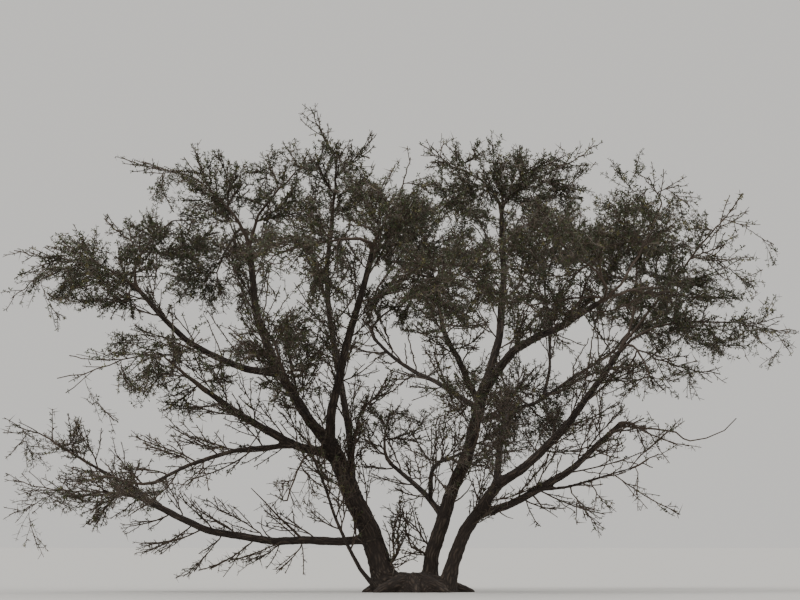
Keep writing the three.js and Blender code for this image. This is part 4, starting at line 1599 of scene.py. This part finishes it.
@dataclass
class Bark:
    """The one skin of trunk, stems and boughs, with its relief of plates and fissures."""

    limbs: Limbs
    material: Material
    grain: Grain = Grain()
    voxel: float = 12.8
    sides: int = 20
    ring: float = 40
    fewest: int = 6
    smoothing: tuple[float, int] = (0.5, 3)
    relief: float = 11
    full_girth: float = 90  # from this radius on, a limb has the full relief
    fade: float = 12  # height above the cut over which it sets in
    scales: float = 1000 / 24  # the lumps that roughen the plates
    scale_height: float = 0.6
    mean: float = 0.85  # the height that stays where the smooth bark was
    fork_height: float = 250
    foot_swell: float = 0.45
    foot_curve: float = 1.6
    below: float = 90

    DOME = np.array([0.45, 0.8, 0.97])

    def __post_init__(self) -> None:
        """Starts the lists of tube meshes and of the axes that carry the grain."""
        self.vertices: list[Array] = []
        self.faces: list[list[int]] = []
        self.axes: list[tuple[Array, ...]] = []
        angles = 2 * np.pi * np.arange(self.sides) / self.sides
        self.circle = np.stack([np.cos(angles), np.sin(angles)], axis=1)

    def add_rings(self, rings: Sequence[Array]) -> None:
        """Adds a closed tube.

        Args:
            rings: Rings of points through which it runs, each with as many as the tube has sides.
        """
        s, base = self.sides, self.sides * len(self.vertices)
        last = base + (len(rings) - 1) * s
        self.vertices.extend(rings)
        for r in range(base, last, s):
            for k in range(s):
                a, b = r + k, r + (k + 1) % s
                self.faces.append([a, b, b + s, a + s])
        self.faces.append([base + k for k in range(s)][::-1])
        self.faces.append([last + k for k in range(s)])

    def sweep(self, points: Array, radii: Array) -> None:
        """Adds a closed tube with rounded ends, and its axis for the grain.

        Args:
            points: The axis.
            radii: The radius at each of its points.
        """
        leads = unit(np.gradient(points, axis=0))
        across = [square_to(leads[0])]
        for lead in leads[1:]:
            across.append(unit(across[-1] - lead * float(across[-1] @ lead)))
        across = np.array(across)
        over = np.cross(leads, across)
        self.axes.append((points, across, over, leads, Limb.along(points)))
        near, far = self.DOME, np.sqrt(1 - self.DOME**2)
        root = zip(near[::-1], far[::-1])
        rings = [(points[0] - leads[0] * radii[0] * d, radii[0] * f, 0) for d, f in root]
        rings += [(p, r, i) for i, (p, r) in enumerate(zip(points, radii))]
        rings += [(points[-1] + leads[-1] * radii[-1] * d, radii[-1] * f, -1) for d, f in zip(near, far)]
        x, y = self.circle[:, :1], self.circle[:, 1:]
        self.add_rings([centre + radius * (x * across[i] + y * over[i]) for centre, radius, i in rings])

    def lay_limbs(self) -> None:
        """Adds every stem and bough, each from inside what bears it."""
        for name, limb in self.limbs.limbs.items():
            count = max(self.fewest, round(limb.length / self.ring))
            shares = np.linspace(0, 1, count + 1)
            points, radii = limb.points(shares), limb.radius_at(shares)
            if name in STEMS:
                foot = np.clip(1 - points[:, 2] / self.fork_height, 0, 1)
                radii = radii * (1 + self.foot_swell * foot**self.foot_curve)
                points = np.concatenate([[points[0] - limb.lead(0) * self.below], points])
                radii = np.concatenate([[radii[0]], radii])
            self.sweep(points, radii)

    def lay_stool(self, stool: Stool) -> None:
        """Adds the mound that the stems share and the roots that run out from it.

        Args:
            stool: Their sizes.
        """
        centre, reach = np.array(stool.centre, dtype=float), np.array(stool.reach, dtype=float)
        ball = [(math.sqrt(1 - height**2), height) for height in np.linspace(*stool.heights, stool.rings)]
        flat = np.column_stack([self.circle, np.ones(self.sides)])
        self.add_rings([centre + reach * flat * (wide, wide, height) for wide, height in ball])
        first, last = stool.root_radius
        for path, t in stool.roots():
            self.sweep(path, first + (last - first) * t ** stool.root_thinning)

    def skin(self) -> Mesh:
        """The tubes as one closed surface, smoothed where they meet and cut flat at height 0.

        Returns:
            The mesh.
        """
        raw = bpy.data.meshes.new("limbs")
        raw.from_pydata((np.concatenate(self.vertices) * MM).tolist(), [], self.faces)
        carrier = bpy.data.objects.new("limbs", raw)
        bpy.context.scene.collection.objects.link(carrier)
        remesh = carrier.modifiers.new("one skin", "REMESH")
        remesh.mode = "VOXEL"
        remesh.voxel_size = self.voxel * MM
        smooth = carrier.modifiers.new("blended forks", "SMOOTH")
        smooth.factor, smooth.iterations = self.smoothing
        mesh = plain_mesh(carrier, "limbs")
        bpy.data.objects.remove(carrier)
        work = bmesh.new()
        work.from_mesh(mesh)
        whole = work.verts[:] + work.edges[:] + work.faces[:]
        bmesh.ops.bisect_plane(work, geom=whole, plane_co=(0, 0, 0), plane_no=(0, 0, 1), clear_inner=True)
        rim = [edge for edge in work.edges if edge.is_boundary]
        bmesh.ops.triangulate(work, faces=bmesh.ops.contextual_create(work, geom=rim)["faces"])
        work.to_mesh(mesh)
        work.free()
        return mesh

    def lay_grain(self, mesh: Mesh) -> None:
        """Stores each vertex's place in its limb's own straightened coordinates, and its girth.

        Args:
            mesh: The skin, which gains both, in metres.
        """
        flat = [np.concatenate([axis[i] for axis in self.axes]) for i in range(4)]
        along = np.concatenate([axis[4] + k / MM for k, axis in enumerate(self.axes)])
        tree = KDTree(len(along))
        for i, point in enumerate(flat[0]):
            tree.insert(point * MM, i)
        tree.balance()
        places = np.empty(len(mesh.vertices) * 3)
        mesh.vertices.foreach_get("co", places)
        places = places.reshape(-1, 3)
        near = np.array([tree.find(p)[1] for p in places])
        apart = places / MM - flat[0][near]
        local = [(apart * flat[i][near]).sum(axis=1) for i in (1, 2, 3)]
        grain = np.stack([local[0], local[1], along[near] + local[2]], axis=1) * MM
        set_attribute(mesh, "grain", "FLOAT_VECTOR", grain)
        set_attribute(mesh, "girth", "FLOAT", np.hypot(local[0], local[1]) * MM)

    def relief_tree(self) -> Recipe:
        """The geometry nodes that raise the plates of bark between the fissures.

        Returns:
            Their tree.
        """
        made = Recipe("bark relief", {
            "Relief": ("NodeSocketFloat", self.relief * MM),
            "Full girth": ("NodeSocketFloat", self.full_girth * MM),
            "Fade": ("NodeSocketFloat", self.fade * MM),
        })
        tree, source = made.tree, made.source
        grain, girth = (
            node(tree, "GeometryNodeInputNamedAttribute", {"Name": name}, data_type=kind).outputs[0]
            for name, kind in (("grain", "FLOAT_VECTOR"), ("girth", "FLOAT")))
        plates = self.grain.height(tree, self.grain.vector(tree, grain))
        scales = node(tree, "ShaderNodeTexNoise", {
            "Vector": grain, "Scale": per_metre(self.scales), "Detail": 2.0})
        place = node(tree, "GeometryNodeInputPosition").outputs[0]
        above = node(tree, "ShaderNodeSeparateXYZ", {0: place}).outputs["Z"]
        stout, clear = (
            node(tree, "ShaderNodeMath", {0: value, 1: source[name]}, operation="DIVIDE",
                 use_clamp=True).outputs[0]
            for value, name in ((girth, "Full girth"), (above, "Fade")))
        height = node(tree, "ShaderNodeMath", {
            0: scales.outputs["Fac"], 1: self.scale_height, 2: plates}, operation="MULTIPLY_ADD").outputs[0]
        for operation, value in (
                ("SUBTRACT", self.mean), ("MULTIPLY", stout), ("MULTIPLY", source["Relief"]),
                ("MULTIPLY", clear)):
            height = node(tree, "ShaderNodeMath", {0: height, 1: value}, operation=operation).outputs[0]
        normal = node(tree, "GeometryNodeInputNormal").outputs[0]
        offset = node(tree, "ShaderNodeVectorMath", {0: normal, "Scale": height}, operation="SCALE")
        raised = node(tree, "GeometryNodeSetPosition", {
            "Geometry": source["Geometry"], "Offset": offset.outputs[0]})
        rounded = node(tree, "GeometryNodeSetShadeSmooth", {"Geometry": raised.outputs[0]})
        made.finish(rounded.outputs[0], self.material)
        return made

    def build(self) -> Object:
        """Makes the skin and puts it in place of the trunk, the stems and the boughs.

        Returns:
            The new object.
        """
        self.lay_limbs()
        self.lay_stool(Stool())
        mesh = self.skin()
        self.lay_grain(mesh)
        mesh = self.relief_tree().bake("trunk_and_boughs", mesh)
        return put("trunk_and_boughs", mesh, ["trunk", *STEMS, *BOUGHS])


@dataclass
class TwigSkins:
    """Twigs as tubes along their lines."""

    material: Material

    def __post_init__(self) -> None:
        """Builds the geometry nodes that sweep a small ring along each line."""
        self.nodes = Recipe("twig tubes", {
            "Sides": ("NodeSocketInt", 3),
            "Thickness": ("NodeSocketFloat", 1.0),
        })
        tree, source = self.nodes.tree, self.nodes.source
        curve = node(tree, "GeometryNodeMeshToCurve", {"Mesh": source["Geometry"]}).outputs[0]
        ring = node(tree, "GeometryNodeCurvePrimitiveCircle", {
            "Resolution": source["Sides"], "Radius": source["Thickness"]})
        girth = node(tree, "GeometryNodeInputNamedAttribute", {"Name": "girth"}, data_type="FLOAT").outputs[0]
        tube = node(tree, "GeometryNodeCurveToMesh", {
            "Curve": curve, "Profile Curve": ring.outputs[0], "Scale": girth, "Fill Caps": True})
        smooth = node(tree, "GeometryNodeSetShadeSmooth", {"Geometry": tube.outputs[0]})
        self.nodes.finish(smooth.outputs[0], self.material)

    def mesh(self, name: str, lines: Lines, sides: int) -> Mesh:
        """Tubes along lines.

        Args:
            name: Name of the mesh.
            lines: The twigs.
            sides: Sides of each tube.

        Returns:
            The plain mesh.
        """
        count, per = lines.points.shape[:2]
        start = (np.arange(count) * per)[:, None] + np.arange(per - 1)
        edges = np.stack([start, start + 1], axis=2).reshape(-1, 2)
        wires = bpy.data.meshes.new(name)
        wires.from_pydata((lines.points.reshape(-1, 3) * MM).tolist(), edges.tolist(), [])
        set_attribute(wires, "girth", "FLOAT", lines.radii.ravel() * MM)
        return self.nodes.bake(name, wires, Sides=sides)


@dataclass
class Spurs:
    """What stands at the joints of a shoot: a pair of spines or a tuft of leaves, set out along each twig."""

    name: str
    material: Material
    shape: Object
    size: tuple[float, float]
    seed: int

    TINT_SEED = 3

    def __post_init__(self) -> None:
        """Builds the geometry nodes that stand the shape on points, outwards from the twig."""
        self.nodes = Recipe(self.name, {
            "Shape": ("NodeSocketObject", self.shape),
            "Least size": ("NodeSocketFloat", self.size[0] * MM),
            "Most size": ("NodeSocketFloat", self.size[1] * MM),
            "Seed": ("NodeSocketInt", self.seed),
        })
        tree, source = self.nodes.tree, self.nodes.source
        out, lead, grade = (
            node(tree, "GeometryNodeInputNamedAttribute", {"Name": name}, data_type=kind).outputs[0]
            for name, kind in (("out", "FLOAT_VECTOR"), ("lead", "FLOAT_VECTOR"), ("grade", "FLOAT")))
        turn = node(tree, "FunctionNodeAxesToRotation", {0: out, 1: lead}, primary_axis="Z",
                    secondary_axis="X")
        size, tint = (
            next(socket for socket in node(
                tree, "FunctionNodeRandomValue", inputs, data_type="FLOAT").outputs if socket.enabled)
            for inputs in (
                {"Min": source["Least size"], "Max": source["Most size"], "Seed": source["Seed"]},
                {"Seed": self.TINT_SEED}))
        graded = node(tree, "ShaderNodeMath", {0: size, 1: grade}, operation="MULTIPLY").outputs[0]
        form = node(tree, "GeometryNodeObjectInfo", {"Object": source["Shape"], "As Instance": True})
        stood = node(tree, "GeometryNodeInstanceOnPoints", {
            "Points": node(tree, "GeometryNodeMeshToPoints", {"Mesh": source["Geometry"]}).outputs[0],
            "Instance": form.outputs["Geometry"], "Rotation": turn.outputs[0], "Scale": graded})
        told = node(tree, "GeometryNodeStoreNamedAttribute", {
            "Geometry": stood.outputs[0], "Name": "tint", "Value": tint},
            data_type="FLOAT", domain="INSTANCE")
        self.nodes.finish(told.outputs[0], self.material)

    def mesh(self, name: str, places: Array, outs: Array, leads: Array, grades: Array) -> Mesh:
        """The shape at each place.

        Args:
            name: Name of the mesh.
            places: Points on the twigs' bark.
            outs: Direction outwards from the twig at each.
            leads: Direction of the twig at each.
            grades: How large each is, as a share of the usual.

        Returns:
            The plain mesh.
        """
        dots = bpy.data.meshes.new(name)
        dots.from_pydata((places * MM).tolist(), [], [])
        set_attribute(dots, "out", "FLOAT_VECTOR", outs)
        set_attribute(dots, "lead", "FLOAT_VECTOR", leads)
        set_attribute(dots, "grade", "FLOAT", grades)
        return self.nodes.bake(name, dots)


class Shapes:
    """The small shapes that are repeated, each of few faces and about 1 in size."""

    SPINE_SPREAD = 48
    SPINE_GIRTH = 0.055
    SPINE_ROOT = 0.08
    LEAVES = 2
    LEAF_SEED = 4
    LEAF_STRAY = 0.12
    LEAF_LEAN = (34, 68)
    BLADE_SPREAD = 0.55
    BLADE_TILT = (0.3, 0.5, 1.0)
    BLADE_WIDTH = 0.17
    BLADE_LENGTH = (0.8, 1.1)
    BLADE_WIDEST = 0.55

    @staticmethod
    def unlinked(name: str, vertices: Sequence[Sequence[float]],
                 faces: Sequence[Sequence[int]]) -> Object:
        """An object that isn't linked to the scene, for the nodes to repeat.

        Args:
            name: Its name.
            vertices: Its corners.
            faces: The corners of each face.

        Returns:
            The object.
        """
        mesh = bpy.data.meshes.new(name)
        mesh.from_pydata([tuple(v) for v in vertices], [], [tuple(f) for f in faces])
        return bpy.data.objects.new(name, mesh)

    @classmethod
    def spine_pair(cls) -> Object:
        """Two slim, straight, three-sided spines that part from one joint, with their bases in the twig.

        Returns:
            The object.
        """
        vertices, faces = [], []
        for sign in (-1, 1):
            lean = math.radians(cls.SPINE_SPREAD) * sign
            lead = np.array([0.0, math.sin(lean), math.cos(lean)])
            flat = square_to(lead)
            over = np.cross(lead, flat)
            base = len(vertices)
            for angle in 2 * np.pi * np.arange(3) / 3:
                around = math.cos(angle) * flat + math.sin(angle) * over
                vertices.append(cls.SPINE_GIRTH * around - cls.SPINE_ROOT * lead)
            vertices.append(lead)
            faces += [[base + i for i in face] for face in ((0, 1, 3), (1, 2, 3), (2, 0, 3), (0, 2, 1))]
        return cls.unlinked("spine_pair", vertices, faces)

    @classmethod
    def leaf_tuft(cls) -> Object:
        """A tuft of small leaves on a short spur, each a pair of narrow feathered blades.

        Returns:
            The object.
        """
        random = np.random.default_rng(cls.LEAF_SEED)
        vertices: list[Array] = []
        for k in range(cls.LEAVES):
            bearing = 2 * math.pi * (k / cls.LEAVES + cls.LEAF_STRAY * random.random())
            lean = math.radians(between(cls.LEAF_LEAN, random.random()))
            way = Limb.heading((math.degrees(bearing), 90 - math.degrees(lean)))
            side = unit(np.cross(way, UP))
            for sign in (-1, 1):
                blade = unit(way + side * sign * cls.BLADE_SPREAD)
                wide = unit(np.cross(blade, np.array(cls.BLADE_TILT))) * cls.BLADE_WIDTH
                length = between(cls.BLADE_LENGTH, random.random())
                middle = blade * cls.BLADE_WIDEST * length
                vertices.extend([np.zeros(3), middle + wide, blade * length, middle - wide])
        faces = [(i, i + 1, i + 2, i + 3) for i in range(0, len(vertices), 4)]
        return cls.unlinked("leaf_tuft", vertices, faces)


@dataclass
class Crown:
    """Twigs, spines and leaves, joined by sector and by kind."""

    limbs: Limbs
    twig_bark: Material
    spine: Material
    leaflet: Material
    joint: float = 46
    joint_place: tuple[float, float] = (0.3, 0.7)
    joint_stray: float = 0.2
    sunk: float = 0.6
    leafy_share: tuple[float, float] = (0.2, 0.56)
    spiny_share: tuple[float, float] = (0.55, 0.38)
    leafy_heights: tuple[float, float] = (800, 2700)
    joints_from: tuple[float, float, float] = (0.3, 0.08, 0.1)
    spine_size: tuple[float, float] = (23, 50)
    tuft_size: tuple[float, float] = (23, 42)
    long_spines: float = 0.13
    long_by: float = 2.3
    seed: int = 41
    stem_seed: int = 19
    spine_seed: int = 5
    tuft_seed: int = 9
    stem_bump: float = 0.16
    stem_tip: float = 8
    stem_thinning: float = 1.15

    STEM_STEPS = 10
    PIPE = 2.3
    SIDES = (8, 6, 4, 3, 3)  # of the masses' stems, the dead branches, the twigs, shoots and offshoots

    def __post_init__(self) -> None:
        """Grows all the lines."""
        twigs, self.stem_courses = Growth(self.limbs).grow()
        brush = Brush(self.limbs)
        own, beside = TwigShapes.lines(twigs), SideTwigs(self.limbs).lines()
        self.twigs = Lines.joined([own, beside, self.snags(live=True)])
        self.shoots = brush.sprout(self.twigs, brush.shoots)
        self.offshoots = brush.sprout(self.shoots, brush.offshoots)
        counts = [len(lines.points) for lines in (own, self.twigs, self.shoots, self.offshoots)]
        LOG.info("%d masses with %d twigs; %d twigs in all, %d shoots, %d offshoots", len(MASSES), *counts)
        self.random = np.random.default_rng(self.seed)

    def stems(self) -> Lines:
        """The masses' own stems, each tapering on from its bough's tip and a little crooked.

        Returns:
            Their lines.
        """
        shares = np.linspace(0, 1, self.STEM_STEPS + 1)
        random = np.random.default_rng(self.stem_seed)
        points, radii = [], []
        borne = [spec.on for spec in MASSES.values()]
        for (start, bend, end), on in zip(self.stem_courses, borne):
            step = float(np.linalg.norm(end - start)) / self.STEM_STEPS
            stray = unit(random.random((self.STEM_STEPS + 1, 3)) - 0.5) * self.stem_bump * step
            stray[::2] = 0
            points.append(bowed(start, bend, end, shares[:, None]) + stray)
            first = self.limbs.limbs[on].spec.radius[1] * borne.count(on) ** (-1 / self.PIPE)
            radii.append(self.stem_tip + (first - self.stem_tip) * (1 - shares) ** self.stem_thinning)
        n = len(points)
        return Lines(np.stack(points), np.stack(radii), np.tile(UP, (n, 1)), np.zeros(n))

    def snags(self, live: bool) -> Lines:
        """The small branches that stand straight on the limbs.

        Args:
            live: Whether the live or the dead ones are wanted.

        Returns:
            Lines of as many steps as the masses' twigs have.
        """
        points, radii = [], []
        chosen = [snag for snag in SNAGS if (snag.live > 0) == live]
        for snag in chosen:
            limb = self.limbs.limbs[snag.on]
            start = limb.point(snag.at)
            way = np.array([start, *(start + np.array(p) for p in snag.way)])
            place, knots = np.linspace(0, len(way) - 1, TwigShapes.STEPS + 1), np.arange(len(way))
            points.append(np.stack([np.interp(place, knots, axis) for axis in way.T], axis=1))
            radii.append(np.linspace(*snag.radius, TwigShapes.STEPS + 1))
        across = np.tile(EAST, (len(points), 1))
        return Lines(np.stack(points), np.stack(radii), across, np.array([snag.live for snag in chosen]))

    def joints(self, lines: Lines, first: float) -> tuple[Array, ...]:
        """Places at every joint of some lines.

        Args:
            lines: The twigs or shoots.
            first: Share of their length at which the joints begin.

        Returns:
            Points on the bark, directions outwards, directions along, and how lively the twig is.
        """
        which, turn, counts = spread(lines.lengths * (1 - first) / self.joint)
        place = turn + between(self.joint_place, self.random.random(len(which)))
        place, lead, radius = lines.at(which, first + (1 - first) * place / counts)
        plane = square_part(lines.plane[which], lead, TINY)
        angle = 2 * np.pi * (GOLDEN * turn + self.joint_stray * self.random.random(len(which))) + which
        out = plane * np.cos(angle)[:, None] + np.cross(lead, plane) * np.sin(angle)[:, None]
        return place + out * (self.sunk * radius)[:, None], out, lead, lines.live[which]

    def lay_twigs(self, skins: TwigSkins, sector: Sector) -> None:
        """Makes the twigs of a sector as one piece, in place of the masses there.

        Args:
            skins: What turns lines into tubes.
            sector: The sector.
        """
        name = f"twigs_{sector.value}"
        orders = (self.bare_stems, self.bare_snags, self.twigs, self.shoots, self.offshoots)
        meshes = []
        for lines, sides in zip(orders, self.SIDES):
            here = lines.keep(np.array([Sector.of(points[-1]) is sector for points in lines.points]))
            if len(here.points):
                meshes.append(skins.mesh(name, here, sides))
        replaced = [mass for mass, spec in MASSES.items() if Sector.of(spec.centre) is sector]
        put(name, joined_mesh(name, meshes, self.twig_bark), replaced)

    def build(self) -> None:
        """Makes every piece of the crown."""
        self.bare_stems, self.bare_snags = self.stems(), self.snags(live=False)
        skins = TwigSkins(self.twig_bark)
        spines = Spurs("spine pairs", self.spine, Shapes.spine_pair(), self.spine_size, self.spine_seed)
        tufts = Spurs("leaf tufts", self.leaflet, Shapes.leaf_tuft(), self.tuft_size, self.tuft_seed)
        orders = zip((self.twigs, self.shoots, self.offshoots), self.joints_from)
        found = [self.joints(lines, first) for lines, first in orders]
        place, out, lead, live = (np.concatenate(part) for part in zip(*found))
        kind = self.random.random(len(place))
        leafiness, spininess = (
            np.interp(place[:, 2], self.leafy_heights, share)
            for share in (self.leafy_share, self.spiny_share))
        size = np.where(self.random.random(len(place)) < self.long_spines, self.long_by, 1.0)
        sectors = np.array([Sector.of(p).value for p in place])
        for sector in Sector:
            self.lay_twigs(skins, sector)
            for spurs, name, wanted, grade in (
                    (spines, "spines", kind > 1 - spininess, size),
                    (tufts, "leaves", kind < leafiness * live, np.ones(len(place)))):
                name = f"{name}_{sector.value}"
                here = (sectors == sector.value) & wanted
                put(name, spurs.mesh(name, place[here], out[here], lead[here], grade[here]))
        for spurs in (spines, tufts):
            bpy.data.objects.remove(spurs.shape)


@dataclass(frozen=True)
class Softbox:
    """A broad light: its bearing and lean in degrees, its power, and how many degrees wide it is."""

    bearing: float
    lean: float
    power: float
    width: float


@dataclass
class Studio:
    """A pale floor, soft light, and the camera low and well back."""

    backdrop: str = "#e9e7e3"
    floor_paint: str = "#adaba7"
    floor_roughness: float = 0.95
    floor_size: float = 600
    lens: float = 180
    farthest: float = 1000
    eye: tuple[float, float, float] = (-0.08, -40, 0.5)
    target: tuple[float, float, float] = (-0.08, 0, 2.92)
    surround: float = 0.9
    lamps: tuple[Softbox, ...] = (
        Softbox(-50, 38, 2.2, 35), Softbox(62, 46, 0.9, 50), Softbox(150, 40, 1.2, 45))

    def floor(self) -> None:
        """A wide matt floor, level with the cut of the trunk."""
        half = self.floor_size / 2
        mesh = bpy.data.meshes.new("floor")
        corners = [(-half, -half, 0), (half, -half, 0), (half, half, 0), (-half, half, 0)]
        mesh.from_pydata(corners, [], [(0, 1, 2, 3)])
        material, _, shader = new_material("matt floor paint", self.floor_roughness)
        shader.inputs["Base Color"].default_value = linear(self.floor_paint)
        mesh.materials.append(material)
        plane = bpy.data.objects.new("floor", mesh)
        bpy.context.scene.collection.objects.link(plane)
        plane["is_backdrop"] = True

    def light(self) -> None:
        """Three broad soft lights and a pale surround."""
        for box in self.lamps:
            lamp = bpy.data.lights.new("softbox", "SUN")
            lamp.energy = box.power
            lamp.angle = math.radians(box.width)
            holder = bpy.data.objects.new("softbox", lamp)
            holder.rotation_euler = (math.radians(box.lean), 0, math.radians(box.bearing))
            bpy.context.scene.collection.objects.link(holder)
        world = bpy.data.worlds.new("surround")
        world.use_nodes = True
        background = world.node_tree.nodes["Background"]
        background.inputs["Color"].default_value = linear(self.backdrop)
        background.inputs["Strength"].default_value = self.surround
        bpy.context.scene.world = world

    def camera(self) -> None:
        """The camera, low and far off, looking slightly up."""
        data = bpy.data.cameras.new("camera")
        data.lens = self.lens
        data.clip_end = self.farthest
        holder = bpy.data.objects.new("camera", data)
        holder.location = self.eye
        holder.rotation_euler = (Vector(self.target) - Vector(self.eye)).to_track_quat("-Z", "Y").to_euler()
        bpy.context.scene.collection.objects.link(holder)
        bpy.context.scene.camera = holder

    def build(self) -> None:
        """Sets up everything that isn't the tree."""
        self.floor()
        self.light()
        self.camera()


def main() -> None:
    """Builds the tree and its studio."""
    logging.basicConfig(level=logging.INFO, format="%(name)s %(message)s")
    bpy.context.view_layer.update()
    limbs = Limbs()
    Studio().build()
    crown = Crown(limbs, YoungBark().material(), Spine().material(), Leaflet().material())
    crown.build()
    Bark(limbs, FissuredBark().material()).build()


if __name__ == "__main__":
    main()
